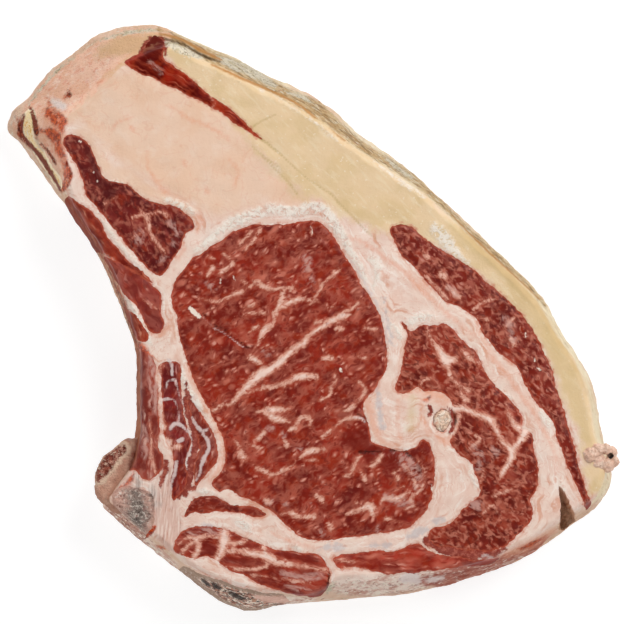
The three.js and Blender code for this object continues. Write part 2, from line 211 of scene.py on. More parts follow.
# Marks on the cut faces, drawn as strokes: every point is a place on the sheet and a width there
STROKES = {
    # fat between the bundles of the meat
    "vein": [
        [(161, 366, 3), (158, 384, 3), (159, 400, 3), (162, 416, 4), (165, 430, 4)],
        [(161, 438, 9), (170, 444, 10), (163, 450, 7), (177, 446, 8)],
        [(261, 228, 3), (254, 240, 3), (246, 248, 4)],
        [(251, 231, 2), (246, 238, 3), (240, 244, 2)],
        [(311, 226, 1), (312, 235, 2)],
        [(233, 264, 4), (227, 268, 4), (221, 273, 4)],
        [(213, 267, 3), (207, 276, 3)],
        [(224, 254, 2), (230, 259, 2), (233, 265, 2)],
        [(208, 256, 3), (214, 259, 3)],
        [(242, 279, 3), (246, 284, 3)],
        [(339, 270, 4), (333, 275, 5), (322, 284, 3), (320, 291, 3), (315, 297, 3), (311, 303, 4)],
        [(249, 287, 3), (256, 282, 7), (265, 287, 7), (273, 289, 5), (283, 288, 4), (292, 288, 5)],
        [(284, 290, 4), (281, 300, 5), (277, 309, 5), (274, 317, 4), (273, 323, 5), (265, 329, 6),
         (261, 336, 5), (258, 345, 3)],
        [(277, 309, 4), (286, 304, 4), (295, 301, 5), (302, 298, 3), (308, 300, 4), (317, 301, 3)],
        [(199, 297, 2), (212, 301, 4), (223, 300, 4), (232, 295, 4), (242, 292, 3)],
        [(261, 348, 3), (268, 345, 3)],
        [(249, 333, 3), (258, 325, 3)],
        [(243, 314, 2), (252, 313, 2), (264, 313, 2)],
        [(243, 307, 3), (254, 304, 3)],
        [(214, 410, 4), (223, 405, 3), (230, 404, 4), (239, 395, 6), (249, 385, 10),
         (261, 374, 12), (273, 367, 10), (284, 358, 9), (295, 348, 8), (305, 342, 7),
         (308, 336, 6), (318, 330, 6), (330, 322, 6), (342, 316, 7), (350, 315, 3)],
        [(344, 312, 3), (353, 308, 3), (358, 303, 2)],
        [(262, 386, 4), (276, 386, 5), (287, 382, 6), (296, 378, 6), (308, 376, 6), (317, 376, 5)],
        [(246, 394, 2), (258, 389, 3), (273, 388, 3)],
        [(257, 412, 2), (266, 411, 7), (276, 410, 6), (289, 409, 2)],
        [(266, 414, 6), (278, 419, 8), (290, 421, 2)],
        [(298, 423, 4), (301, 418, 5), (310, 418, 6), (310, 424, 3)],
        [(289, 430, 3), (295, 428, 4)],
        [(322, 358, 3), (333, 358, 4)],
        [(336, 329, 3), (342, 329, 4)],
        [(315, 323, 3), (321, 322, 4)],
        [(328, 307, 3), (332, 307, 3)],
        [(359, 357, 3), (365, 358, 3)],
        [(251, 358, 5), (256, 360, 8), (260, 363, 5)],
        [(317, 496, 6), (321, 499, 9)],
        [(395, 473, 4), (398, 479, 6)],
        [(329, 524, 4), (331, 528, 6)],
        [(240, 452, 7), (243, 457, 8)],
        [(236, 441, 3), (239, 446, 5)],
        [(263, 433, 6), (259, 438, 7)],
        [(285, 441, 4), (287, 445, 6)],
        [(264, 499, 3), (269, 503, 6)],
        [(413, 480, 4), (416, 486, 5)],
        [(365, 328, 3), (377, 329, 2)],
        [(335, 376, 2), (336, 380, 3), (331, 388, 2.5), (330, 395, 2.5), (320, 400, 2)],
        [(359, 382, 2.5), (365, 389, 3), (359, 401, 3), (350, 408, 4), (344, 411, 2)],
        [(249, 444, 2), (258, 448, 3), (263, 447, 2)],
        [(301, 458, 3), (307, 452, 6), (316, 450, 6), (324, 449, 4)],
        [(304, 460, 2), (316, 460, 2.5)],
        [(257, 467, 4), (266, 472, 7), (274, 474, 6), (283, 470, 5), (292, 466, 2),
         (296, 461, 2)],
        [(322, 437, 2.5), (333, 428, 3), (344, 420, 3.5), (353, 417, 4), (362, 419, 3)],
        [(359, 457, 5), (355, 464, 5), (350, 474, 4), (342, 476, 2)],
        [(382, 455, 4), (378, 461, 4), (371, 466, 3)],
        [(361, 472, 3), (365, 480, 5)],
        [(358, 496, 2), (356, 503, 4)],
        [(280, 514, 2), (292, 513, 5), (298, 516, 4), (313, 516, 5)],
        [(347, 514, 4), (359, 509, 6), (370, 506, 8), (373, 513, 7)],
        [(382, 500, 3), (390, 498, 5), (399, 498, 6), (410, 492, 5), (411, 501, 3)],
        [(387, 519, 3), (407, 522, 2)],
        [(403, 465, 3), (409, 470, 4), (413, 477, 3)],
        [(419, 461, 3), (424, 470, 3.4), (423, 478, 2)],
        [(396, 490, 3), (404, 486, 4)],
        [(412, 497, 3), (420, 490, 3), (424, 483, 2)],
        [(404, 509, 2), (413, 506, 3)],
        # the cap
        [(434, 344, 5), (439, 348, 7), (442, 356, 9), (448, 361, 12), (456, 359, 6)],
        [(426, 328, 3), (430, 337, 3.5), (434, 344, 5)],
        [(449, 364, 5), (450, 376, 5), (458, 385, 4), (470, 391, 2)],
        [(462, 351, 4), (468, 356, 5), (475, 362, 4), (481, 364, 6), (488, 372, 6)],
        [(420, 384, 3), (426, 379, 4), (431, 378, 3)],
        [(450, 409, 9), (462, 409, 7), (474, 413, 6), (483, 416, 6), (492, 422, 6),
         (496, 429, 5), (502, 441, 6), (509, 447, 8), (512, 453, 9), (509, 463, 7),
         (503, 472, 5), (499, 480, 3)],
        [(512, 449, 8), (521, 439, 8), (526, 430, 10), (528, 425, 8)],
        [(505, 403, 3), (509, 414, 5), (515, 425, 6), (519, 428, 9)],
        [(459, 416, 5), (455, 429, 5), (450, 436, 4)],
        [(475, 435, 4), (480, 439, 5), (474, 445, 4), (471, 448, 3)],
        [(483, 472, 3), (480, 483, 5)],
        [(493, 496, 3), (502, 492, 3), (512, 489, 2)],
        [(483, 513, 3), (492, 505, 3), (497, 511, 3)],
        [(461, 394, 2), (468, 401, 2.5), (483, 406, 2)],
        # the outer strip
        [(426, 255, 4), (428, 258, 4)],
        [(440, 272, 3), (443, 276, 8), (447, 278, 4)],
        [(424, 274, 3), (433, 284, 3), (441, 292, 4), (447, 299, 5)],
        [(446, 286, 2), (454, 293, 6), (459, 297, 5)],
        [(474, 309, 3), (481, 303, 3), (489, 300, 3), (497, 299, 2)],
        [(514, 318, 3), (509, 323, 5), (506, 327, 4)],
        [(511, 339, 4), (514, 344, 6)],
        [(477, 317, 3), (486, 320, 4)],
        # the rib muscle and its neighbours
        [(139, 208, 2), (144, 214, 4), (148, 220, 5), (150, 232, 4), (157, 242, 4), (165, 253, 3)],
        [(148, 214, 3), (140, 215, 2), (133, 218, 2)],
        [(148, 214, 3), (157, 212, 2), (165, 213, 2), (168, 225, 2)],
        [(146, 229, 3), (139, 234, 2), (133, 238, 2)],
        [(105, 204, 2), (110, 201, 2), (116, 197, 2)],
        [(143, 300, 2), (151, 305, 3), (160, 310, 2)],
        [(143, 437, 2), (145, 443, 4), (147, 447, 2)],
        [(150, 424, 2), (151, 440, 3), (151, 455, 3), (155, 472, 3)],
        [(211, 97, 2), (214, 103, 2.4), (212, 108, 2)],
        # the bottom muscles
        [(178, 545, 2), (186, 538, 3.4), (197, 538, 4), (212, 536, 4), (222, 539, 5)],
        [(197, 538, 4), (198, 548, 5), (194, 558, 6)],
        [(180, 555, 3), (187, 547, 4), (195, 541, 4)],
        [(224, 530, 7), (224, 540, 13), (222, 550, 9), (217, 560, 6)],
        [(224, 542, 6), (234, 544, 5), (243, 542, 5), (250, 537, 3)],
        [(222, 551, 5), (236, 551, 7), (250, 553, 8), (264, 556, 9), (278, 562, 8), (292, 565, 6),
         (308, 567, 5), (326, 570, 4)],
        [(263, 547, 5), (267, 557, 8)],
        [(221, 566, 2), (236, 569, 3), (252, 569, 3), (266, 567, 3)],
        [(252, 575, 2), (272, 577, 2), (296, 581, 3), (318, 583, 2)],
        [(334, 560, 2), (343, 560, 3), (354, 562, 2)],
        [(343, 571, 6), (352, 572, 8), (364, 571, 7)],
    ],
    # bright hard specks of fat in the meat
    "speck": [
        [(311, 226, 1), (312, 234, 1.6)],
        [(221, 279, 1.2), (220, 284, 1.4)],
        [(233, 276, 1.2), (235, 281, 1.4)],
        [(190, 308, 4), (195, 313, 5), (200, 317, 3.5)],
        [(340, 369, 3), (341, 371, 3)],
        [(431, 484, 1.5), (432, 490, 2)],
        [(526, 333, 1.6), (526, 337, 1.6)],
        [(534, 357, 1.6), (535, 361, 1.6)],
        [(537, 368, 1.6), (541, 370, 2)],
        [(149, 420, 1.5), (149, 423, 1.5)],
        [(370, 572, 1.6), (372, 578, 2)],
        [(79, 141, 2), (81, 142, 2)],
        [(93, 172, 1.8), (94, 173, 1.8)],
        [(97, 181, 1.4), (98, 182, 1.4)],
    ],
    # dull pinkish patches where the meat has been scraped
    "scrape": [
        [(306, 258, 6), (309, 264, 8), (305, 269, 5)],
        [(308, 270, 4), (311, 282, 5)],
        [(264, 351, 4), (268, 355, 7)],
        [(208, 284, 5), (213, 288, 6)],
        [(268, 428, 4), (273, 429, 4)],
        [(282, 433, 3), (284, 435, 4)],
        [(298, 446, 5), (299, 449, 6)],
        [(265, 500, 5), (269, 502, 6)],
        [(285, 503, 4), (286, 505, 4)],
        [(311, 505, 4), (312, 506, 4)],
        [(321, 531, 5), (322, 532, 5)],
        [(377, 527, 4), (378, 530, 4)],
        [(396, 454, 7), (407, 462, 14), (416, 472, 13), (418, 486, 8)],
        [(386, 497, 6), (398, 501, 9), (409, 503, 7)],
        [(474, 447, 6), (481, 458, 8), (478, 470, 5)],
        [(492, 450, 8), (495, 453, 9)],
        [(465, 502, 7), (478, 506, 9)],
        [(505, 318, 6), (512, 330, 8), (514, 343, 6)],
        [(449, 287, 6), (456, 294, 6)],
        [(141, 232, 8), (139, 240, 9)],
        [(151, 352, 4), (152, 366, 7), (153, 382, 9), (155, 398, 9), (155, 411, 6)],
        [(144, 428, 5), (146, 442, 7), (144, 456, 5)],
        [(150, 62, 3), (157, 68, 4), (162, 73, 3)],
        [(190, 533, 5), (204, 531, 6), (222, 532, 5)],
        [(282, 574, 6), (300, 577, 8), (320, 576, 7)],
        [(286, 586, 4), (300, 589, 5), (312, 591, 4)],
        [(200, 531, 6), (214, 531, 7), (228, 534, 6)],
        [(168, 222, 5), (178, 231, 7), (174, 244, 6)],
        [(160, 262, 4), (166, 256, 5)],
    ],
    # silverskin: thin blue-white sheets between the bundles
    "silver": [
        [(347, 257, 1.5), (358, 271, 2), (368, 289, 2), (378, 305, 2), (384, 320, 2), (388, 346, 1.5)],
        [(169, 360, 3), (172, 366, 3.5), (172, 375, 2)],
        [(166, 389, 1.6), (168, 381, 2), (175, 380, 2.4), (177, 388, 1.6),
         (180, 397, 1.6), (184, 406, 1.6), (187, 416, 1.8), (191, 423, 1.6)],
        [(161, 401, 2), (166, 399, 4), (174, 400, 2.4), (177, 406, 2),
         (179, 414, 1.8), (179, 421, 1.6)],
        [(170, 429, 4), (174, 424, 4), (179, 424, 4), (184, 428, 3.6), (191, 435, 3.4),
         (193, 445, 4), (189, 455, 3.6), (187, 462, 3.4), (189, 471, 2.6), (192, 476, 2)],
        [(192, 418, 3), (196, 425, 4), (202, 431, 4), (207, 430, 3), (209, 428, 2)],
        [(203, 434, 3), (208, 441, 4), (209, 448, 4), (205, 457, 5), (201, 466, 4),
         (200, 472, 3), (196, 481, 2)],
        [(176, 462, 4), (175, 473, 4), (171, 483, 3), (170, 493, 4)],
        [(178, 441, 4), (183, 439, 4)],
        [(203, 317, 1), (214, 328, 1.6), (224, 333, 2.2), (236, 342, 1.8), (248, 350, 1.4)],
        [(353, 417, 2), (361, 418, 3), (365, 422, 2.5)],
        [(204, 524, 4), (212, 526, 3)],
        [(186, 396, 2), (192, 397, 3), (197, 404, 3), (200, 410, 3)],
    ],
    # cracks between the bundles, painted dark as the shade inside them
    "crack": [
        [(204, 314, 1.4), (215, 325, 1.6), (226, 331, 1.6), (238, 341, 1.4), (249, 348, 1)],
        [(359, 452, 1.2), (368, 452, 1.6), (381, 452, 1.2)],
        [(391, 450, 2), (405, 452, 3), (413, 459, 2.5), (418, 466, 2), (420, 474, 2)],
        [(357, 414, 1), (364, 417, 1.6), (367, 422, 1.4)],
        [(331, 570, 1.2), (329, 580, 1.4), (326, 591, 1.6)],
        [(430, 412, 5), (431, 414, 5)],
        [(452, 412, 2), (455, 420, 3), (452, 428, 2)],
        [(536, 543, 3), (541, 542, 3)],
    ],
    # cap fat, which is yellower than the rest
    "yellow": [
        [(176, 46, 30), (196, 62, 46), (221, 80, 54), (260, 108, 62), (304, 144, 76), (354, 179, 78),
         (399, 205, 64), (440, 232, 36), (480, 258, 32), (520, 295, 32), (548, 335, 30),
         (572, 380, 30), (584, 420, 26), (593, 455, 24), (598, 485, 22)],
    ],
    # the smooth pink-cream kernel of fat at the upper left
    "kernel": [
        [(75, 112, 24), (100, 100, 50), (130, 112, 90), (165, 132, 104), (200, 152, 104),
         (228, 178, 76), (262, 186, 36), (300, 200, 16)],
        [(84, 132, 16), (104, 168, 18), (130, 180, 20), (160, 196, 18), (188, 208, 14)],
    ],
    # the fat's deeper yellow streaks
    "ochre": [
        [(245, 138, 4), (256, 151, 8), (271, 168, 10), (286, 179, 12), (294, 191, 14),
         (305, 200, 12)],
        [(345, 205, 12), (362, 214, 14), (378, 220, 10)],
        [(452, 226, 12), (480, 250, 14), (520, 292, 14), (548, 334, 20), (566, 372, 22), (580, 412, 18),
         (588, 440, 12)],
        [(588, 495, 7), (597, 480, 6)],
        [(411, 388, 3), (412, 408, 10), (411, 427, 13)],
        [(440, 226, 6), (458, 240, 6), (470, 252, 4)],
    ],
    # orange-pink lines where thin membranes cross the fat
    "blush": [
        [(45, 108, 10), (52, 122, 20), (57, 134, 20), (58, 148, 15), (62, 160, 9)],
        [(364, 398, 6), (370, 410, 9), (373, 424, 9), (382, 441, 7), (398, 449, 4)],
        [(404, 396, 5), (414, 390, 6), (428, 394, 7), (444, 398, 6)],
        [(349, 237, 2), (360, 241, 3), (375, 250, 4), (390, 262, 5), (402, 270, 5), (415, 283, 5),
         (430, 298, 5), (446, 313, 4), (462, 325, 3), (475, 337, 3)],
        [(474, 319, 2), (483, 341, 3), (492, 356, 4), (505, 373, 4), (516, 388, 5),
         (527, 403, 4), (540, 423, 4), (549, 441, 3), (555, 455, 3), (557, 470, 2)],
        [(402, 268, 2), (416, 278, 3), (430, 291, 2)],
        [(421, 400, 3), (423, 420, 3), (430, 436, 2)],
        [(398, 400, 2), (398, 420, 2), (400, 440, 2)],
        [(132, 117, 2), (117, 123, 2), (112, 129, 2)],
        [(147, 152, 2), (148, 167, 2), (158, 184, 4)],
        [(170, 106, 2), (191, 120, 3), (208, 126, 3), (230, 140, 2)],
        [(206, 188, 3), (207, 192, 4)],
        [(184, 162, 3), (186, 165, 3)],
        [(131, 127, 3), (133, 129, 3)],
        [(160, 188, 5), (166, 192, 6)],
        [(181, 241, 4), (184, 249, 5), (178, 258, 4)],
        [(196, 214, 4), (200, 222, 5), (197, 232, 4)],
        [(425, 398, 4), (428, 401, 4)],
        [(272, 533, 3), (290, 541, 4), (312, 547, 3)],
        [(187, 364, 3), (192, 380, 4), (204, 400, 5), (215, 420, 5), (221, 440, 5), (222, 454, 5),
         (219, 468, 5), (210, 481, 4)],
        [(147, 357, 6), (150, 364, 6)],
        [(230, 160, 2), (238, 172, 3), (234, 186, 2)],
        [(506, 557, 8), (522, 550, 13), (540, 541, 13), (556, 532, 8)],
        [(11, 121, 6), (14, 129, 8), (19, 138, 6)],
        [(435, 400, 5), (441, 402, 6), (448, 405, 4)],
        [(439, 437, 8), (446, 442, 9), (454, 437, 6)],
        [(424, 393, 8), (438, 395, 9), (449, 401, 6)],
    ],
    # fat torn into white fibres and crumbs by the knife
    "fray": [
        [(196, 251, 5), (206, 243, 8), (222, 230, 10), (236, 221, 12), (250, 216, 12),
         (262, 212, 12), (275, 209, 12), (293, 212, 12), (313, 208, 13), (325, 212, 13),
         (335, 224, 11), (342, 235, 10), (350, 250, 8), (359, 264, 7), (366, 279, 5)],
        [(370, 258, 5), (376, 262, 8), (378, 274, 7), (374, 288, 4)],
        [(392, 326, 6), (397, 331, 9), (401, 337, 5)],
        [(409, 322, 6), (420, 318, 10), (433, 317, 7)],
        [(434, 227, 10), (442, 235, 15), (449, 245, 13), (458, 254, 8), (468, 262, 4)],
        [(541, 412, 4), (546, 420, 9), (552, 426, 6)],
        [(503, 392, 3), (510, 398, 4)],
        [(165, 199, 5), (176, 203, 7), (188, 209, 7), (196, 214, 4)],
        [(105, 180, 4), (115, 183, 6), (122, 183, 4)],
        [(237, 520, 6), (244, 524, 9), (250, 529, 6)],
        [(294, 545, 4), (299, 549, 6)],
        [(200, 490, 5), (212, 494, 6)],
        [(560, 482, 3), (564, 489, 4)],
        [(470, 461, 4), (472, 474, 5), (477, 486, 5)],
        [(262, 89, 4), (263, 90, 4)],
        [(274, 96, 1.6), (298, 110, 2.4), (322, 128, 2.6), (338, 141, 2)],
        [(374, 161, 2), (392, 174, 4), (410, 187, 6), (424, 196, 4)],
        [(182, 371, 5), (185, 384, 7), (191, 393, 9), (198, 403, 8), (202, 411, 4)],
        [(98, 213, 4), (106, 224, 5), (116, 240, 5), (128, 254, 4), (140, 266, 3)],
        [(128, 300, 4), (134, 310, 6), (140, 320, 6), (146, 330, 5), (150, 342, 5)],
        [(49, 96, 5), (57, 102, 7), (63, 108, 4)],
    ],
    # blue-grey gristly patches in the seam fat
    "grey_fat": [
        [(322, 549, 5), (333, 547, 8), (344, 547, 5)],
        [(371, 546, 4), (380, 545, 5), (390, 544, 4)],
        [(410, 536, 8), (419, 533, 10), (426, 528, 6)],
        [(434, 521, 6), (443, 518, 7)],
        [(376, 385, 4), (379, 405, 7), (381, 428, 7)],
        [(383, 300, 3), (388, 322, 4), (391, 345, 4)],
    ],
    # painted shade: a darker, ochre band along the rounded shoulder of the cap fat
    "shade": [
        [(462, 230, 4), (480, 248, 9), (500, 267, 11), (520, 286, 11), (541, 311, 8), (556, 335, 8),
         (567, 351, 8), (579, 373, 7), (588, 394, 4)],
    ],
    # reddish film over the lower right edge
    "smear": [
        [(422, 583, 8), (440, 581, 18), (465, 575, 22), (490, 567, 18), (512, 560, 13),
         (530, 552, 8), (548, 540, 5)],
    ],
    # thin olive-brown folds in the cap fat
    "fold": [
        [(258, 137, 2.2), (268, 144, 2), (276, 151, 1.4)],
        [(275, 149, 1.2), (293, 166, 1), (308, 179, 1), (323, 189, 1.2), (331, 194, 1.8),
         (338, 202, 1.6), (353, 217, 1.4), (366, 231, 1.2), (376, 239, 0.8)],
        [(262, 157, 0.8), (278, 172, 1), (290, 184, 1.2), (297, 194, 1)],
        [(252, 146, 0.8), (266, 158, 1), (281, 168, 0.8)],
        [(251, 128, 0.8), (262, 121, 1), (275, 115, 0.8)],
        [(453, 217, 2), (469, 233, 2.6), (480, 244, 3), (493, 254, 3), (507, 267, 3),
         (523, 281, 3), (536, 293, 2.4), (543, 306, 1.6)],
    ],
    # the dried rind where it shows on the face, along its outer edge
    "rind": [
        [(158, 27, 8), (178, 39, 12), (200, 50, 13), (222, 59, 14), (245, 70, 15), (268, 82, 13),
         (292, 96, 13), (314, 106, 17), (326, 115, 14), (338, 126, 11), (358, 142, 9), (380, 156, 9),
         (400, 168, 10), (412, 176, 10), (428, 190, 8), (450, 210, 6), (470, 230, 6), (490, 248, 7),
         (510, 266, 6), (530, 285, 5), (548, 306, 3)],
    ],
    # plain lean meat with few flecks
    "lean": [
        [(348, 436, 16), (366, 444, 24), (384, 456, 20), (396, 462, 12)],
        [(144, 50, 8), (153, 40, 16), (152, 54, 16)],
        [(156, 452, 5), (159, 462, 6), (157, 470, 5)],
        [(142, 452, 4), (144, 468, 4)],
        [(178, 541, 5), (183, 548, 6)],
        [(203, 546, 9), (212, 549, 10)],
        [(233, 533, 4), (240, 537, 4)],
        [(248, 544, 5), (257, 546, 5)],
        [(226, 560, 7), (244, 561, 8)],
        [(256, 583, 5), (278, 587, 6), (300, 593, 6)],
        [(280, 553, 6), (300, 558, 7), (315, 561, 5)],
        [(88, 150, 10), (98, 172, 12), (112, 195, 14)],
        [(142, 352, 6), (142, 374, 6), (144, 393, 7), (144, 410, 6), (141, 418, 3)],
        [(155, 419, 8), (152, 434, 7)],
        [(166, 44, 3), (160, 36, 6)],
        [(560, 415, 4), (568, 437, 6), (577, 465, 6), (585, 492, 6)],
    ],
    # films of meat over the fat
    "bleed": [
        [(186, 382, 2), (187, 392, 4), (191, 404, 4)],
        [(186, 398, 4), (188, 412, 6), (193, 428, 6), (196, 445, 7), (192, 462, 8), (190, 478, 7),
         (184, 494, 6)],
        [(166, 462, 5), (164, 474, 5), (160, 486, 3)],
        [(178, 498, 4), (184, 490, 5), (194, 488, 4)],
        [(141, 52, 5), (144, 44, 5), (150, 36, 4)],
        [(160, 36, 5), (165, 44, 4), (165, 54, 4)],
        [(428, 405, 3), (431, 411, 4), (429, 417, 2)],
        [(427, 541, 9), (445, 549, 11), (465, 554, 11), (484, 555, 10), (497, 553, 6), (505, 549, 3)],
        [(448, 407, 2), (453, 414, 4), (454, 424, 5), (450, 432, 4)],
        [(140, 540, 4), (147, 535, 5), (154, 528, 4)],
        [(524, 549, 3), (534, 546, 5), (545, 540, 4)],
    ],
    # the crumbly crust along the lower edge
    "crust": [
        [(200, 582, 5), (214, 589, 12), (230, 597, 18), (248, 603, 18), (262, 607, 8)],
        [(331, 588, 8), (345, 588, 18), (372, 588, 24), (400, 586, 24), (425, 582, 20),
         (450, 577, 14), (480, 572, 12), (515, 560, 8)],
        [(250, 603, 8), (268, 603, 12), (290, 603, 12), (312, 602, 8)],
        [(104, 508, 10), (128, 530, 14), (152, 553, 14), (172, 568, 10)],
    ],
    # grey-green flakes of the rind
    "flake": [
        [(167, 42, 6), (176, 47, 9), (188, 52, 9), (200, 57, 5)],
        [(218, 56, 7), (232, 62, 12), (248, 68, 12), (262, 76, 10), (274, 84, 6)],
        [(288, 91, 4), (300, 94, 5), (310, 100, 4)],
        [(388, 158, 4), (400, 168, 6), (412, 176, 5)],
        [(327, 594, 4), (331, 588, 6), (334, 583, 4)],
        [(25, 102, 2), (36, 87, 3), (52, 69, 3), (70, 54, 2)],
        [(98, 37, 2), (114, 32, 4), (134, 28, 5), (152, 27, 4)],
    ],
    # the rind's peeled edge, orange-brown
    "peel": [
        [(158, 31, 2), (168, 33, 3), (183, 38, 3), (200, 48, 3.4), (212, 54, 3), (221, 58, 2)],
        [(452, 214, 1), (480, 243, 1.8), (500, 262, 2), (520, 280, 1.6), (541, 299, 1)],
        [(211, 64, 1.6), (222, 69, 2.4), (234, 75, 3), (256, 84, 3), (281, 95, 2.6), (300, 105, 2.4),
         (320, 122, 2), (345, 141, 1.6)],
    ],
    # the gap under that peel, painted dark brown as the shade under it
    "gap": [
        [(162, 36, 2), (170, 39, 2.4), (183, 43, 2.4), (200, 53, 2.6), (212, 58, 2.2), (220, 60, 1.4)],
    ],
    # blood-red and rusty stains
    "stain": [
        [(44, 96, 3), (50, 106, 4), (58, 115, 5), (65, 122, 5)],
        [(47, 111, 9), (54, 117, 12), (62, 121, 12)],
        [(48, 130, 9), (54, 136, 13)],
        [(60, 124, 7), (62, 130, 6)],
        [(36, 127, 4), (41, 130, 5)],
        [(424, 400, 2), (430, 398, 2.6)],
        [(520, 550, 3), (530, 546, 5), (541, 541, 4)],
        [(57, 142, 7), (60, 151, 9), (64, 160, 7)],
        [(66, 87, 2), (65, 93, 2.4), (63, 98, 2)],
        [(14, 116, 4), (17, 122, 6)],
        [(64, 159, 3), (67, 170, 8), (67, 180, 10), (62, 188, 7)],
        [(140, 539, 5), (147, 534, 6), (154, 528, 5)],
        [(157, 549, 4), (163, 549, 4)],
        [(66, 205, 7), (76, 216, 8), (84, 226, 6)],
        [(100, 252, 2), (110, 257, 3), (125, 266, 3), (140, 277, 3), (152, 285, 2)],
        [(140, 346, 6), (146, 352, 8), (151, 358, 5)],
        [(140, 425, 4), (139, 440, 6), (135, 455, 6), (131, 468, 5)],
        [(134, 474, 3), (128, 482, 4), (120, 488, 3)],
    ],
    # dark meat dried at the far tip of the rib
    "tip_dark": [
        [(27, 105, 2), (30, 111, 4), (32, 118, 5), (33, 126, 5), (35, 132, 4)],
        [(39, 143, 1.6), (46, 150, 2), (53, 160, 2), (55, 164, 1.6)],
        [(21, 112, 2), (19, 119, 4), (17, 126, 6), (17, 132, 6), (22, 138, 5), (29, 145, 4),
         (37, 154, 5), (46, 167, 5), (53, 179, 4), (58, 188, 3)],
        [(66, 162, 1.4), (71, 174, 2), (68, 186, 1.6)],
        [(67, 90, 3), (68, 95, 4)],
    ],
    # the steep slanted end, where the fat is pink and cream and has no rind; its colour is also painted
    # paler, as painted light for a face that gets little light
    "slant": [
        [(40, 112, 44), (62, 90, 48), (85, 72, 46), (110, 52, 40), (135, 42, 36), (158, 38, 24)],
        [(40, 112, 40), (48, 132, 34), (58, 155, 24), (64, 178, 12)],
    ],
    # soft brown shading on that end
    "slant_tan": [
        [(100, 50, 12), (120, 44, 22), (140, 42, 26), (156, 38, 18)],
        [(112, 76, 8), (128, 60, 10)],
    ],
    # pale lumps of fat on that end and along the lower edge
    "lump": [
        [(51, 99, 6), (57, 103, 9), (63, 107, 7)],
        [(404, 580, 9), (411, 578, 15), (418, 582, 9)],
        [(429, 583, 5), (436, 581, 7), (443, 580, 5)],
        [(484, 557, 3), (490, 557, 4)],
    ],
    # sinew: long pale fibres beside the backbone
    "sinew": [
        [(166, 470, 14), (164, 500, 26), (168, 530, 28), (170, 548, 14)],
    ],
    # thick membrane along the inner side of the ribs
    "membrane": [
        [(84, 226, 6), (103, 262, 6), (120, 298, 7), (131, 328, 7), (137, 352, 7), (138, 381, 6),
         (138, 401, 6), (138, 422, 6), (135, 440, 7)],
    ],
    # marrow in the rib
    "marrow": [
        [(97, 477, 11), (104, 467, 13), (112, 457, 13), (121, 450, 9)],
    ],
    # where the saw has smeared grey bone dust
    "bone_dust": [
        [(131, 492, 12), (136, 502, 20), (138, 516, 24), (134, 529, 18)],
        [(136, 478, 3), (140, 494, 5)],
        [(150, 480, 4), (154, 506, 7)],
    ],
    # a smooth pink pad of fat over the backbone's crust
    "pad": [
        [(256, 598, 5), (268, 601, 8), (284, 602, 9), (294, 602, 6)],
    ],
    # open holes in the crusted backbone, painted near black as the shade inside them
    "pit": [
        [(213, 586, 4), (218, 589, 5)],
        [(229, 594, 3), (236, 598, 5), (243, 601, 3)],
        [(203, 583, 4), (209, 588, 3)],
    ],
}

# Grooves and ridges that the strokes of a mark give the face: size and softness in millimetres
GROOVES = {"crack": (0.5, 0.5), "gap": (1.6, 0.6), "fold": (0.25, 0.6), "pit": (2.0, 0.8)}
RIDGES = {
    "lump": (0.8, 1.6), "vein": (0.12, 0.5), "fray": (0.22, 0.8), "peel": (0.7, 0.6),
    "silver": (0.15, 0.4),
}
OUTLINE_STEP = 0.7  # spacing of the points of an outline, in millimetres
WAVES = 20  # waves in a ripple
SAMPLES = 12  # points on each span of a curve when its length is measured
FAR = 8.0  # marks are measured up to this distance, in millimetres
SKIN_REACH = 40.0  # and the distance from the side wall up to this one
SKIN_STEP = 4.0
CLEFT_MARGIN = 0.5  # points this near the notch's wall belong to it
WELD = 0.004  # corners nearer than this are merged
THINNEST = 0.001  # thinner faces are dissolved
SHARP = 50  # edges with a steeper bend, in degrees, stay sharp
SLIVER, CRUMB = 40, 200  # islands of fewer faces are dropped, on small and on large pieces


def linear(hex_colour):
    """An sRGB hex colour as linear red, green and blue with full opacity."""
    parts = [int(hex_colour[i : i + 2], 16) / 255 for i in (0, 2, 4)]
    return tuple(p / 12.92 if p <= 0.04045 else ((p + 0.055) / 1.055) ** 2.4 for p in parts) + (1.0,)


# The plan and its curves


def place(rows):
    """Sheet points as millimetres from the middle of the steak; a third column is a width."""
    spots = np.array(rows, float)
    spots[:, :2] = (spots[:, :2] - ORIGIN) * (SQUARE, -SQUARE)
    spots[:, 2:] *= SQUARE
    return spots


def curve_at(points, at, closed):
    """A smooth centripetal curve through the points: at 0 it is on the first, at 1 on the second."""
    if closed:
        run = np.vstack([points[-1:], points, points[:2]])
    else:
        run = np.vstack([2 * points[0] - points[1], points, 2 * points[-1] - points[-2]])
    first = np.minimum(at.astype(int), len(run) - 4)
    a, b, c, d = (run[first + k] for k in range(4))
    before, here, after = (
        np.maximum(np.linalg.norm((q - p)[:, :2], axis=1), 1e-6)[:, None] ** 0.5
        for p, q in ((a, b), (b, c), (c, d))
    )
    leave = here * ((b - a) / before - (c - a) / (before + here) + (c - b) / here)
    arrive = here * ((c - b) / here - (d - b) / (here + after) + (d - c) / after)
    s = (at - first)[:, None]
    bend = (2 * b - 2 * c + leave + arrive) * s**3
    return bend + (3 * c - 3 * b - 2 * leave - arrive) * s**2 + leave * s + b


def curve_through(points, step, closed=True):
    """Points about every step millimetres along the smooth curve through the given ones."""
    spans = len(points) if closed else len(points) - 1
    fine = curve_at(points, np.linspace(0, spans, spans * SAMPLES + 1), closed)
    lengths = np.linalg.norm(np.diff(fine[:, :2], axis=0), axis=1)
    run = np.concatenate([[0], np.cumsum(lengths)])
    count = max(round(run[-1] / step), 3 if closed else 1)
    at = np.linspace(0, run[-1], count + 1)
    even = np.column_stack([np.interp(at, run, column) for column in fine.T])
    return even[:-1] if closed else even


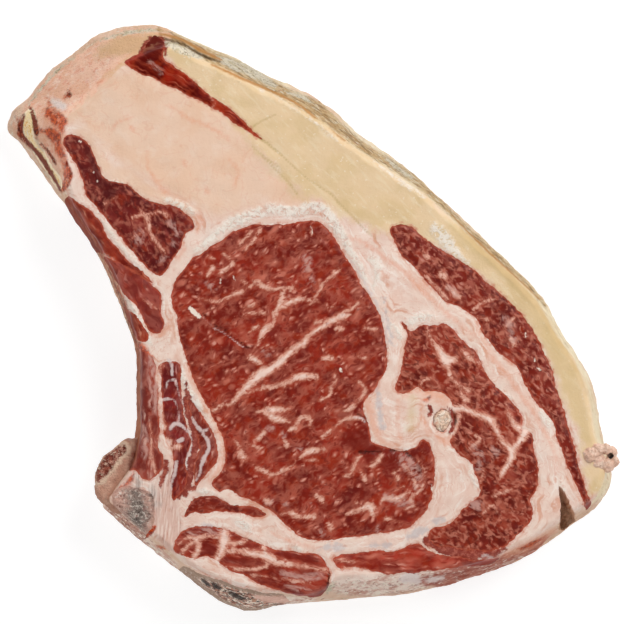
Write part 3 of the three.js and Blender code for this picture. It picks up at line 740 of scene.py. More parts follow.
def reach_of(points, line, closed, limit):
    """How far each point lies outside the line's width, in millimetres and at most limit."""
    if line.shape[1] < 3:
        line = np.column_stack([line, np.zeros(len(line))])
    away = np.full(len(points), float(limit))
    margin = limit + line[:, 2].max() / 2
    low, high = line[:, :2].min(0) - margin, line[:, :2].max(0) + margin
    near = np.flatnonzero(((points > low) & (points < high)).all(1))
    here, best = points[near], away[near]
    ends = np.roll(line, -1, axis=0) if closed else line[1:]
    for start, end in zip(line, ends):
        along = end[:2] - start[:2]
        offset = here - (start[:2] + end[:2]) / 2
        span = math.hypot(*along) / 2 + margin
        close = np.flatnonzero(np.einsum("ij,ij->i", offset, offset) < span**2)
        from_start = here[close] - start[:2]
        share = np.clip(from_start @ along / max(along @ along, 1e-9), 0, 1)
        gap = np.hypot(*(from_start - share[:, None] * along).T)
        gap -= (start[2] + share * (end[2] - start[2])) / 2
        best[close] = np.minimum(best[close], gap)
    away[near] = best
    return away


def inside(points, ring):
    """Which points lie inside the ring."""
    odd = np.zeros(len(points), bool)
    x, y = points.T
    for (ax, ay), (bx, by) in zip(ring, np.roll(ring, -1, axis=0)):
        crossing = (ay > y) != (by > y)
        rise = by - ay if by != ay else 1.0
        odd ^= crossing & (x < (bx - ax) * (y - ay) / rise + ax)
    return odd


def nearest(points, lines, closed):
    """How far each point lies outside the nearest of the lines; below zero it is inside."""
    away = np.full(len(points), FAR)
    for line in lines:
        away = np.minimum(away, reach_of(points, line, closed, FAR))
    return away


def mark_reach(points, name):
    """How far each point lies outside the nearest stroke of a mark."""
    lines = (curve_through(place(stroke), 1.0, closed=False) for stroke in STROKES[name])
    return nearest(points, lines, False)


def rim_lines():
    """The side wall's waist, and the edge of the face above it, in millimetres."""
    rim = np.array(RIM, float)
    return place(SIGHT + (rim[:, :2] - SIGHT) * WAIST_SPREAD), place(rim[:, 2:])


def ripples(points, wavelength, seed):
    """A smooth random ripple of about plus and minus one, with that wavelength in millimetres."""
    chance = np.random.default_rng(seed)
    ways = chance.normal(size=(WAVES, points.shape[1]))
    ways /= np.linalg.norm(ways, axis=1)[:, None] * wavelength * chance.uniform(0.7, 1.4, (WAVES, 1))
    turns = points @ (2 * math.pi * ways).T + chance.uniform(0, 2 * math.pi, WAVES)
    return np.cos(turns).sum(1) * math.sqrt(2 / WAVES)


def soft_step(value, full=1.0):
    """Full where the value is well below zero, nothing well above it, and soft between."""
    return full / (1 + np.exp(np.clip(value, -30, 30)))


# The cut faces: heights in millimetres, and each ripple with its wavelength and its seed


def outline_of(rows):
    """The outline of a piece in millimetres, a little ragged."""
    ring = curve_through(place(rows), OUTLINE_STEP)
    along = np.roll(ring, -2, axis=0) - np.roll(ring, 2, axis=0)
    across = np.column_stack([along[:, 1], -along[:, 0]]) / np.linalg.norm(along, axis=1)[:, None]
    ragged = 0.2 * ripples(ring, 9, 50) + 0.1 * ripples(ring, 3.8, 51) + 0.1 * ripples(ring, 1.7, 52)
    return ring + across * ragged[:, None]


def face_height(points):
    """Height of the cut face, with its broad mounds."""
    height = np.full(len(points), THICKNESS)
    for u, v, reach, rise in MOUNDS:
        away = np.linalg.norm(points - place([(u, v)])[0], axis=1) / reach
        height += rise * np.exp(-(away**2))
    return height


def meat_relief(points, seam):
    """Meat swells a little between its seams and has a fine grain."""
    valley = -0.5 * np.exp(-seam / 0.9)
    grain = 0.08 * ripples(points, 3.6, 1) + 0.035 * ripples(points, 1.7, 2)
    return valley + grain


def fat_relief(points, seam):
    """Fat is smooth with shallow waves, and dips at the seams."""
    valley = -0.35 * np.exp(-seam / 0.8)
    return valley + 0.1 * ripples(points, 11, 3) + 0.03 * ripples(points, 2.4, 4)


def bone_relief(points, seam):
    """Sawn bone is a little rough, with open cells away from its hard shell."""
    cells = np.clip(ripples(points, 2.2, 5) * 1.2 - 0.2, 0, 1) * np.clip((seam - 0.6) / 0.8, 0, 1)
    return 0.05 * ripples(points, 3, 6) - 0.5 * cells


def crust_relief(points, seam):
    """The backbone's dried crust is deeply pitted."""
    crags = np.clip(ripples(points, 3.0, 7), -1, 1) * 0.5 + np.clip(ripples(points, 1.6, 8), -1, 1) * 0.3
    return crags * np.clip(seam / 1.5, 0, 1) - 0.3


def crumb_relief(points, seam):
    """The tendon's torn end stands a little proud and crumbly."""
    return 0.7 * np.clip(seam / 1.2, 0, 1) + 0.14 * ripples(points, 2.4, 9) - 0.5 * np.exp(-seam / 0.5)


def rib_end_relief(points, seam):
    """The rib ends lower than the face, rounded at its rim and hollowed over the marrow."""
    drop = RIB_BONE_HEIGHT - face_height(points)
    rounding = -2.5 * np.exp(-seam / 1.3)
    hollow = soft_step(mark_reach(points, "marrow") * 4, 0.5)
    cells = 0.3 * np.clip(ripples(points, 1.8, 30), -1, 1) * hollow * 2
    return drop + rounding - hollow + cells + 0.08 * ripples(points, 4, 31)


def stroke_relief(points):
    """Grooves and ridges along the strokes."""
    height = np.zeros(len(points))
    for table, sign in ((GROOVES, -1), (RIDGES, 1)):
        for name, (size, softness) in table.items():
            height += soft_step(mark_reach(points, name) / softness * 4, sign * size)
    frayed = 0.6 * np.clip(1 - mark_reach(points, "fray"), 0, 1)
    rind = np.clip(1 - mark_reach(points, "rind"), 0, 1)
    height += frayed * 0.14 * ripples(points, 1.8, 10)
    return height + rind * (0.22 * ripples(points, 3.1, 11) + 0.12 * ripples(points, 1.6, 12))


# Meshes


def object_of(name, bm):
    """A new object at the origin holding the mesh."""
    mesh = bpy.data.meshes.new(name)
    bm.to_mesh(mesh)
    bm.free()
    made = bpy.data.objects.new(name, mesh)
    bpy.context.scene.collection.objects.link(made)
    return made


def remove(made):
    """Removes an object together with its mesh."""
    bpy.data.meshes.remove(made.data)


def spots_of(corners):
    """The places of a mesh's corners, in millimetres."""
    return np.array([corner.co for corner in corners]) / MM


def move_corners(bm, spots):
    """Moves every corner to its spot, in millimetres."""
    for corner, spot in zip(bm.verts, spots * MM):
        corner.co = spot


def extrude_up(bm, rise):
    """Extrudes all the faces upwards by rise millimetres, and gives the raised corners."""
    made = bmesh.ops.extrude_face_region(bm, geom=bm.faces[:])["geom"]
    corners = [part for part in made if isinstance(part, bmesh.types.BMVert)]
    bmesh.ops.translate(bm, verts=corners, vec=(0, 0, rise * MM))
    return corners


def prism(ring, bottom, spread):
    """A solid over the ring, up past the steak; its top is spread times as wide as its bottom."""
    bm = bmesh.new()
    bm.faces.new([bm.verts.new((x * MM, y * MM, bottom * MM)) for x, y in ring])
    corners = extrude_up(bm, CLEAR - bottom)
    middle = Matrix.Translation((*(-ring.mean(0) * MM), 0))
    bmesh.ops.scale(bm, verts=corners, vec=(spread, spread, 1), space=middle)
    bmesh.ops.triangulate(bm, faces=bm.faces[:])
    bmesh.ops.recalc_face_normals(bm, faces=bm.faces[:])
    return object_of("plan_tool", bm)


def fine_block(name, low, high, step, seams, relief):
    """A block between two plan corners, with the fine relief of the cut faces on top and below."""
    size = high - low
    across, along = (max(int(math.ceil(s / step)), 2) for s in size)
    shape = Matrix.Translation((*((low + high) / 2 * MM), 0)) @ Matrix.Diagonal((*(size * MM), 1, 1))
    bm = bmesh.new()
    bmesh.ops.create_grid(bm, x_segments=across, y_segments=along, size=0.5, matrix=shape)
    extrude_up(bm, THICKNESS)
    spots = spots_of(bm.verts)
    on_top = spots[:, 2] > THICKNESS / 2
    plan = spots[:, :2]
    fine = relief(plan, nearest(plan, seams, True)) + stroke_relief(plan)
    mean, least, most = UNDERSIDE
    spots[:, 2] = np.where(on_top, face_height(plan) + fine, np.clip(mean - fine, least, most))
    move_corners(bm, spots)
    bmesh.ops.recalc_face_normals(bm, faces=bm.faces[:])
    return object_of(name, bm)


def fine_wall(name, step):
    """The steak's closed side wall with its dried, wrinkled skin."""
    low, high = rim_lines()
    spans = np.linalg.norm(np.roll(low, -1, axis=0) - low, axis=1)
    counts = np.maximum(spans / step, 3).astype(int)
    at = np.concatenate([i + np.arange(n) / n for i, n in enumerate(counts)])
    waist, edge = curve_at(low, at, True), curve_at(high, at, True)
    tall = face_height(edge)
    around = np.roll(edge + waist, -3, axis=0) - np.roll(edge + waist, 3, axis=0)
    inwards = np.column_stack([around[:, 1], -around[:, 0]])
    inwards /= np.linalg.norm(inwards, axis=1)[:, None]
    levels = np.concatenate([WALL_BELOW, np.linspace(0, 1, int(THICKNESS / step)), WALL_ABOVE])

    bm = bmesh.new()
    bmesh.ops.create_grid(bm, x_segments=len(at), y_segments=len(levels) - 1, size=0.5)
    flat = np.array([corner.co for corner in bm.verts])
    column = np.rint((flat[:, 0] + 0.5) * len(at)).astype(int) % len(at)
    level = levels[np.rint((flat[:, 1] + 0.5) * (len(levels) - 1)).astype(int)]
    z = level * tall[column]
    lean = np.clip((z - WAIST) / (tall[column] - SHOULDER - WAIST), 0, 1) ** WALL_BOW
    foot = FOOT_TUCK * np.clip(1 - z / WAIST, 0, 1.1) ** 4
    over = np.clip(z - (tall[column] - SHOULDER), 0, None) ** 2 / SHOULDER_ROUNDING
    plan = waist[column] + (edge - waist)[column] * lean[:, None]
    spots = np.column_stack([plan, z])
    wrinkles = 0.16 * ripples(spots, 11, 20) + 0.1 * ripples(spots * (1, 1, 1.6), 4.5, 21)
    wrinkles += 0.07 * ripples(spots, 2.4, 22) - soft_step(mark_reach(plan, "gap") * 6)
    wrinkles *= np.clip(z / 3, 0, 1) * np.clip((tall[column] - z) / 2 + 0.3, 0.3, 1)
    spots[:, :2] += inwards[column] * (foot + over - wrinkles)[:, None]
    move_corners(bm, spots)
    # The grid's two sides meet all round, and a flat face closes each end
    bmesh.ops.remove_doubles(bm, verts=bm.verts[:], dist=1e-7)
    bmesh.ops.holes_fill(bm, edges=[e for e in bm.edges if e.is_boundary], sides=0)
    ends = [face for face in bm.faces if len(face.verts) > 4]
    bmesh.ops.triangulate(bm, faces=ends)
    bmesh.ops.recalc_face_normals(bm, faces=bm.faces[:])
    return object_of(name, bm)


def settle(piece):
    """Keeps what the piece's modifiers make as its mesh."""
    depsgraph = bpy.context.evaluated_depsgraph_get()
    before, after = piece.data, bpy.data.meshes.new_from_object(piece.evaluated_get(depsgraph))
    piece.modifiers.clear()
    piece.data = after
    bpy.data.meshes.remove(before)


def cut(piece, operation, tool):
    """Makes one Boolean cut on the piece."""
    step = piece.modifiers.new("Cut", "BOOLEAN")
    step.operation = operation
    step.solver = "MANIFOLD"
    step.object = tool
    settle(piece)
    if not len(piece.data.polygons):
        raise RuntimeError(f"nothing is left of {piece.name} after a cut")


def cut_plan(piece, operation, ring, bottom=UNDER, spread=1.0):
    """Cuts the piece with a prism over the ring."""
    tool = prism(ring, bottom, spread)
    cut(piece, operation, tool)
    remove(tool)


def tidy(piece, smallest):
    """Welds the mesh, drops crumbs of fewer faces than smallest, and shades it smooth."""
    bm = bmesh.new()
    bm.from_mesh(piece.data)
    bmesh.ops.remove_doubles(bm, verts=bm.verts[:], dist=WELD * MM)
    bmesh.ops.dissolve_degenerate(bm, edges=bm.edges[:], dist=THINNEST * MM)
    unseen = set(bm.faces)
    while unseen:
        island, front = set(), [unseen.pop()]
        while front:
            face = front.pop()
            island.add(face)
            for edge in face.edges:
                for other in edge.link_faces:
                    if other in unseen:
                        unseen.discard(other)
                        front.append(other)
        if len(island) < smallest:
            bmesh.ops.delete(bm, geom=list(island), context="FACES")
    bmesh.ops.triangulate(bm, faces=[f for f in bm.faces if len(f.verts) > 4])
    for edge in bm.edges:
        edge.smooth = edge.calc_face_angle(0.0) < math.radians(SHARP)
    for face in bm.faces:
        face.smooth = True
    bm.to_mesh(piece.data)
    bm.free()


def keep(mesh, name, values):
    """Stores a value for every corner of the mesh, for its material to read."""
    attribute = mesh.attributes.new(name, "FLOAT", "POINT")
    attribute.data.foreach_set("value", values.astype(np.float32))


def skin_depth(spots):
    """How far a point lies down the side wall; below zero it is that far inside a cut face."""
    plan = spots[:, :2]
    depths = []
    for line, height in zip(rim_lines(), (spots[:, 2], face_height(plan) - spots[:, 2])):
        ring = curve_through(line, SKIN_STEP)
        depths.append(height - np.where(inside(plan, ring), reach_of(plan, ring, True, SKIN_REACH), 0))
    return np.minimum(*depths)


def measure(piece, marks, seams):
    """Stores the marks that the piece's material reads, in millimetres."""
    mesh = piece.data
    spots = spots_of(mesh.vertices)
    for name in marks:
        keep(mesh, name, mark_reach(spots[:, :2], name))
    keep(mesh, "seam", nearest(spots[:, :2], seams, True))
    keep(mesh, "skin", skin_depth(spots))


def dress(piece, node, material):
    """Gives the piece its finish and its place on the frame."""
    piece.data.materials.clear()
    piece.data.materials.append(material)
    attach(piece, "root")
    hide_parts(node)


# Materials

MIX_FACTOR, MIX_LOW, MIX_HIGH, MIX_COLOUR = 0, 6, 7, 2  # sockets of a Mix node for colours
FLOOR_GLOW = 0.82  # keeps the floor white in the steak's soft shadow


def add(tree, kind, links=None, **settings):
    """Adds a node: settings are its own, and links give an input a value or a node's output."""
    node = tree.nodes.new(kind)
    for name, value in settings.items():
        setattr(node, name, value)
    for socket, value in (links or {}).items():
        if isinstance(value, bpy.types.NodeSocket):
            tree.links.new(value, node.inputs[socket])
        else:
            node.inputs[socket].default_value = value
    return node


def per_mm(size):
    """The scale of a pattern whose features are that many millimetres across."""
    return 1 / (size * MM)


def finish_named(name, roughness, shine):
    """A new material, its shader, the place that its patterns read, and patches at that place."""
    material = bpy.data.materials.new(name)
    material.use_nodes = True
    tree = material.node_tree
    tree.nodes.clear()
    shader = add(tree, "ShaderNodeBsdfPrincipled", {"Roughness": roughness, "Specular IOR Level": shine})
    add(tree, "ShaderNodeOutputMaterial", {"Surface": shader.outputs["BSDF"]})
    spot = add(tree, "ShaderNodeTexCoord").outputs["Object"]
    return material, tree, shader, spot, partial(patches, tree, spot)


def patches(tree, spot, size, low, high, strength=1.0, detail=3.0, rough=0.55, warp=0.0, least=0.0):
    """Soft random patches of that size in millimetres: least up to low, and strength from high on."""
    noise = add(
        tree,
        "ShaderNodeTexNoise",
        {"Vector": spot, "Scale": per_mm(size), "Detail": detail, "Roughness": rough, "Distortion": warp},
    )
    spread = {"Value": noise.outputs[0], "From Min": low, "From Max": high}
    spread |= {"To Min": least, "To Max": strength}
    return add(tree, "ShaderNodeMapRange", spread, interpolation_type="SMOOTHSTEP").outputs[0]


def streaks(tree, spot, name, width, length, low, high, strength=1.0):
    """Streaks that run at an even distance from a mark, with their width and length in millimetres."""
    stored = add(tree, "ShaderNodeAttribute", attribute_name=name).outputs["Fac"]
    bent = add(tree, "ShaderNodeMath", {0: stored, 1: wobble(tree, spot, 7, 1.2)}, operation="ADD")
    across = add(tree, "ShaderNodeMath", {0: bent.outputs[0], 1: width}, operation="DIVIDE")
    along = add(tree, "ShaderNodeVectorMath", {0: spot, "Scale": per_mm(length)}, operation="SCALE")
    noise = add(
        tree,
        "ShaderNodeTexNoise",
        {"Vector": along.outputs[0], "W": across.outputs[0], "Scale": 1.0, "Detail": 2.0},
        noise_dimensions="4D",
    )
    spread = {"Value": noise.outputs[0], "From Min": low, "From Max": high, "To Max": strength}
    return add(tree, "ShaderNodeMapRange", spread, interpolation_type="SMOOTHSTEP").outputs[0]


def threads(tree, spot, size, width, strength=1.0, warp=1.0):
    """Thin wandering threads, where a random field crosses its middle value."""
    noise = add(
        tree,
        "ShaderNodeTexNoise",
        {"Vector": spot, "Scale": per_mm(size), "Detail": 3.0, "Roughness": 0.5, "Distortion": warp},
    )
    off = add(tree, "ShaderNodeMath", {0: noise.outputs[0], 1: 0.5}, operation="SUBTRACT")
    away = add(tree, "ShaderNodeMath", {0: off.outputs[0]}, operation="ABSOLUTE")
    spread = {"Value": away.outputs[0], "From Min": width, "From Max": 0.0, "To Max": strength}
    return add(tree, "ShaderNodeMapRange", spread, interpolation_type="SMOOTHSTEP").outputs[0]


def wandering(tree, spot, size, amount):
    """The coordinates, pushed about by up to amount millimetres so that a pattern wanders."""
    noise = add(tree, "ShaderNodeTexNoise", {"Vector": spot, "Scale": per_mm(size), "Detail": 1.0})
    middle = {0: noise.outputs[1], 1: (0.5, 0.5, 0.5)}
    centred = add(tree, "ShaderNodeVectorMath", middle, operation="SUBTRACT")
    push = {0: centred.outputs[0], "Scale": amount * 4 * MM}
    push = add(tree, "ShaderNodeVectorMath", push, operation="SCALE")
    return add(tree, "ShaderNodeVectorMath", {0: spot, 1: push.outputs[0]}, operation="ADD").outputs[0]


def cell_walls(tree, spot, size, width, strength=1.0, dimensions="3D"):
    """The walls between random cells of that size; width is a share of the size."""
    cells = add(
        tree,
        "ShaderNodeTexVoronoi",
        {"Vector": spot, "Scale": per_mm(size), "Randomness": 1.0},
        feature="DISTANCE_TO_EDGE",
        voronoi_dimensions=dimensions,
    )
    spread = {"Value": cells.outputs["Distance"], "From Min": width, "From Max": width * 0.2}
    spread["To Max"] = strength
    return add(tree, "ShaderNodeMapRange", spread, interpolation_type="SMOOTHSTEP").outputs[0]


def random_cells(tree, spot, size, dimensions="2D"):
    """Random cells of that size: a random number for each, and the distance from its middle."""
    scale = {"Vector": spot, "Scale": per_mm(size), "Randomness": 1.0}
    cells = add(tree, "ShaderNodeTexVoronoi", scale, voronoi_dimensions=dimensions)
    chance = add(tree, "ShaderNodeSeparateColor", {0: cells.outputs["Color"]}).outputs[0]
    return chance, cells.outputs["Distance"]


def blobs(tree, cells, reach, share, strength=1.0):
    """Soft blobs of random sizes in some of the cells: share is how many of them have one."""
    chance, away = cells
    shrunk = add(tree, "ShaderNodeMath", {0: chance, 1: reach / share, 2: away}, operation="MULTIPLY_ADD")
    spread = {"Value": shrunk.outputs[0], "From Min": reach, "From Max": reach * 0.3, "To Max": strength}
    return add(tree, "ShaderNodeMapRange", spread, interpolation_type="SMOOTHSTEP").outputs[0]


def along_grain(tree, spot, angle, long, across):
    """Coordinates in which a pattern is drawn out along the grain; both sizes in millimetres."""
    stretch = {
        "Vector": spot,
        "Rotation": (0, 0, math.radians(angle)),
        "Scale": (long, across, (long + across) / 2),
    }
    return add(tree, "ShaderNodeMapping", stretch, vector_type="TEXTURE").outputs[0]


def wobble(tree, spot, size, amount):
    """A random distance in millimetres, either way, that makes a mark's edge ragged."""
    noise = add(
        tree,
        "ShaderNodeTexNoise",
        {"Vector": spot, "Scale": per_mm(size), "Detail": 3.0, "Roughness": 0.6},
    )
    centred = {0: noise.outputs[0], 1: amount * 4, 2: -amount * 2}
    return add(tree, "ShaderNodeMath", centred, operation="MULTIPLY_ADD").outputs[0]


def drawn(tree, name, ragged, start, end, strength=1.0):
    """A mask from a stored distance: nothing at start, and strength at end."""
    stored = add(tree, "ShaderNodeAttribute", attribute_name=name)
    moved = add(tree, "ShaderNodeMath", {0: stored.outputs["Fac"], 1: ragged}, operation="ADD")
    spread = {"Value": moved.outputs[0], "From Min": start, "From Max": end, "To Max": strength}
    return add(tree, "ShaderNodeMapRange", spread, interpolation_type="SMOOTHSTEP").outputs[0]


def both(tree, *masks):
    """Where all the masks are."""
    whole = masks[0]
    for mask in masks[1:]:
        whole = add(tree, "ShaderNodeMath", {0: whole, 1: mask}, operation="MULTIPLY").outputs[0]
    return whole


def paint(colour):
    """A hex colour made linear; a colour that comes from a node stays as it is."""
    return linear(colour) if isinstance(colour, str) else colour


def laid(tree, base, layers):
    """The colour that the layers give, each a mask and a colour laid over those before it."""
    colour = paint(base)
    for mask, over in layers:
        mixed = {MIX_FACTOR: mask, MIX_LOW: colour, MIX_HIGH: paint(over)}
        colour = add(tree, "ShaderNodeMix", mixed, data_type="RGBA").outputs[MIX_COLOUR]
    return colour


def raised(tree, shader, parts, depth):
    """Bump from the sum of the parts, each a mask and a weight; depth in millimetres."""
    total = 0.0
    for mask, weight in parts:
        weighed = {0: mask, 1: weight, 2: total}
        total = add(tree, "ShaderNodeMath", weighed, operation="MULTIPLY_ADD").outputs[0]
    bump = add(tree, "ShaderNodeBump", {"Height": total, "Strength": 1.0, "Distance": depth * MM})
    tree.links.new(bump.outputs[0], shader.inputs["Normal"])


def raw_beef(
    name, dark, bright, fleck, pale, angle, long, across, fill, walls, dry="8a2c1a", shine=0.12
):
    """Raw beef, freshly cut: moist red bundles with soft flecks and threads of fat between them."""
    material, tree, shader, spot, patch = finish_named(name, 0.4, shine)
    bent = wandering(tree, wandering(tree, spot, 7, 1.0), 2.2, 0.35)
    grain = along_grain(tree, bent, angle, long, across)
    fingers = wobble(tree, along_grain(tree, bent, angle, 2.4, 0.8), 1.0, 0.7)
    ragged = wobble(tree, spot, 1.6, 0.45)
    uneven = {0: fingers, 1: wobble(tree, spot, 6, 0.8)}
    uneven = add(tree, "ShaderNodeMath", uneven, operation="ADD").outputs[0]
    density = patch(9, 0.36, 0.58, detail=1, least=0.4)
    small, large = random_cells(tree, grain, 1.0), random_cells(tree, grain, 2.1)
    flecks = both(tree, density, blobs(tree, small, 0.62, 0.85 + fill, 0.8))
    cores = both(tree, density, blobs(tree, small, 0.38, 0.4 + fill, 0.6))
    large_flecks = both(tree, density, blobs(tree, large, 0.48, 0.5 + fill, 0.8))
    bundle, _ = random_cells(tree, grain, 1.5)
    bundles = both(tree, bundle, patch(4, 0.3, 0.6, walls))
    strayed = along_grain(tree, wandering(tree, bent, 1.6, 0.3), angle, long, across)
    net = cell_walls(tree, strayed, 1.5, 0.26, walls, "2D")
    net = both(tree, net, patch(2.6, 0.42, 0.6))
    vein = drawn(tree, "vein", uneven, 0.3, -0.8, 0.95)
    vein = both(tree, vein, patch(1.6, 0.3, 0.46))
    scrape = drawn(tree, "scrape", uneven, 1.0, -1.0, 0.75)
    scrape = both(tree, scrape, patches(tree, grain, 0.9, 0.38, 0.6))
    silver = drawn(tree, "silver", wobble(tree, spot, 2.2, 0.4), 0.25, -0.5, 0.8)
    dried = drawn(tree, "skin", wobble(tree, spot, 3, 0.8), 0.8, 9.0, 0.9)
    colour = laid(tree, dark, [
        (patch(14, 0.42, 0.62, detail=2), bright),
        (patch(5, 0.46, 0.66, 0.6, detail=2), "9c3218"),
        (bundles, bright),
        (patches(tree, bent, 8, 0.5, 0.64, 0.5, detail=1), "5e1816"),
        (patches(tree, grain, 1.6, 0.44, 0.66, 0.4, detail=2), fleck),
        (flecks, fleck),
        (large_flecks, fleck),
        (net, "bc705c"),
        (cores, pale),
        (patches(tree, grain, 0.8, 0.56, 0.68, 0.7, detail=1.5), dark),
        (drawn(tree, "lean", wobble(tree, spot, 6, 1.5), 1.0, -1.2, 0.75), dark),
        (drawn(tree, "seam", ragged, 1.0, 0.0, 0.7), "b8563e"),
        (drawn(tree, "vein", uneven, 1.0, -0.4, 0.6), "b25a44"),
        (vein, "dca38e"),
        (drawn(tree, "vein", uneven, -0.6, -1.8, 0.85), "f2d6c8"),
        (scrape, "c89a8e"),
        (silver, "e2ccc6"),
        (drawn(tree, "speck", wobble(tree, spot, 1.0, 0.35), 0.2, -0.3, 0.95), "f2e2d2"),
        (dried, laid(tree, dry, [
            (patch(9, 0.45, 0.62, 0.5), "5e1c10"),
            (patch(5, 0.54, 0.7, 0.4), "c08a68"),
        ])),
        # painted shade: the cracks between the bundles are painted near black for the shade in them
        (drawn(tree, "crack", uneven, 0.7, -0.9, 0.88), "300600"),
    ])
    tree.links.new(colour, shader.inputs["Base Color"])
    rough = add(tree, "ShaderNodeMapRange", {"Value": dried, "To Min": 0.4, "To Max": 0.75})
    tree.links.new(rough.outputs[0], shader.inputs["Roughness"])
    raised(tree, shader, [(flecks, 0.7), (vein, 0.3), (net, 0.6), (silver, 0.6)], 0.12)
    return material


def fat_shades(tree, spot, patch, loose):
    """The colours of the fat's regions, each with soft patches and streaks of its own."""
    flat_grain = along_grain(tree, spot, 12, 7.0, 1.6)
    return {
        "kernel": laid(tree, "e9c7ae", [
            (patch(16, 0.42, 0.62, 0.6, detail=2), "e6bd9f"),
            (patch(5, 0.5, 0.68, 0.4), "ecd2bf"),
            (threads(tree, spot, 11, 0.018, 0.3, 1.0), "e0a386"),
        ]),
        "seam_fat": laid(tree, "ebd1c2", [
            (patch(10, 0.42, 0.62, 0.6, detail=2), "e2bcab"),
            (patch(2.6, 0.5, 0.7, 0.5), "f0dccf"),
            (both(tree, streaks(tree, spot, "seam", 1.8, 16, 0.5, 0.66, 0.8), patch(9, 0.4, 0.58)),
             "d79c82"),
            (streaks(tree, spot, "seam", 1.0, 12, 0.52, 0.68, 0.55), "f5e9e0"),
            (threads(tree, spot, 10, 0.016, 0.35, 1.6), "d58a6c"),
        ]),
        "cap": laid(tree, "e5c8a0", [
            (patch(12, 0.42, 0.62, 0.7, detail=2), "dabd8e"),
            (patches(tree, along_grain(tree, spot, -45, 9, 2.2), 1.0, 0.5, 0.68, 0.5), "ead6b4"),
            (patch(1.4, 0.64, 0.72, 0.5), "f3e8d6"),
        ]),
        "rind": laid(tree, "ccae84", [
            (patch(5, 0.44, 0.6, 0.9, rough=0.65), "b6905f"),
            (patches(tree, along_grain(tree, spot, -38, 6.0, 1.0), 1.0, 0.48, 0.62, 0.85), "8a6a44"),
            (patches(tree, along_grain(tree, spot, -38, 3.5, 1.2), 1.0, 0.54, 0.66, 0.8), "ded4bc"),
            (patch(3, 0.6, 0.7, 0.5), "b3745a"),
        ]),
        "wall": laid(tree, "ecc8ae", [
            (patch(16, 0.4, 0.62, 0.6, rough=0.6), "deb492"),
            (patch(6, 0.54, 0.7, 0.6, rough=0.65), "bd8c66"),
            (patch(3, 0.54, 0.68, 0.7), "f3e6d4"),
            (patch(7, 0.62, 0.72, 0.6), "9c4c36"),
        ]),
        # painted light: the cap fat on the steep side wall, painted paler than on the face to make up for
        # the light that the wall misses
        "cap_wall": laid(tree, "f2e2c2", [
            (patch(14, 0.42, 0.62, 0.7), "e4cea6"),
            (patch(5, 0.54, 0.68, 0.6), "f6ead2"),
            (patches(tree, along_grain(tree, spot, -50, 9, 1.4), 1.0, 0.56, 0.68, 0.35), "b08c5c"),
        ]),
        "crust": laid(tree, "fce6d8", [
            (patch(9, 0.48, 0.6, 0.75, rough=0.6), "c47e6c"),
            (patch(5, 0.46, 0.62, 0.65, rough=0.65), "dcae9a"),
            (patch(2.6, 0.55, 0.65, 0.75, rough=0.7), "9c5240"),
            (patch(2.0, 0.53, 0.62, 0.9), "faeede"),
        ]),
        # partly painted light: the slanted end's own pink-cream, painted paler to make up for the light
        # that its steep face misses
        "slant": laid(tree, "f6c8ae", [
            (patch(9, 0.42, 0.62, 0.7), "ecb494"),
            (patch(3, 0.52, 0.68, 0.6), "fadccc"),
            (patch(2.4, 0.52, 0.66, 0.5, rough=0.65), "e48c72"),
            (drawn(tree, "slant_tan", loose, 3.0, -3.0, 0.9), "dcb288"),
        ]),
        "smear": laid(tree, "b86a58", [
            (patches(tree, flat_grain, 1.0, 0.46, 0.62, 0.9), "983c2c"),
            (patches(tree, flat_grain, 0.7, 0.54, 0.66, 0.9), "d2a294"),
            (patch(2.4, 0.56, 0.66, 0.8), "ecd6c8"),
        ]),
        "film": laid(tree, "84281c", [
            (patch(2.0, 0.48, 0.62, 0.7, rough=0.7), "b4604e"),
        ]),
        "stained": laid(tree, "d0521e", [
            (patch(2.0, 0.46, 0.58, rough=0.7), "962008"),
            (patch(1.3, 0.54, 0.62, 0.8), "5a1006"),
            (patch(3.2, 0.56, 0.66, 0.6), "eaa080"),
        ]),
        "dark_tip": laid(tree, "701a08", [
            (patch(1.4, 0.48, 0.58, 0.85, rough=0.7), "b4502e"),
            (patch(1.1, 0.52, 0.6, 0.85), "3a1006"),
            (patch(1.2, 0.58, 0.66, 0.8), "e0a890"),
        ]),
    }


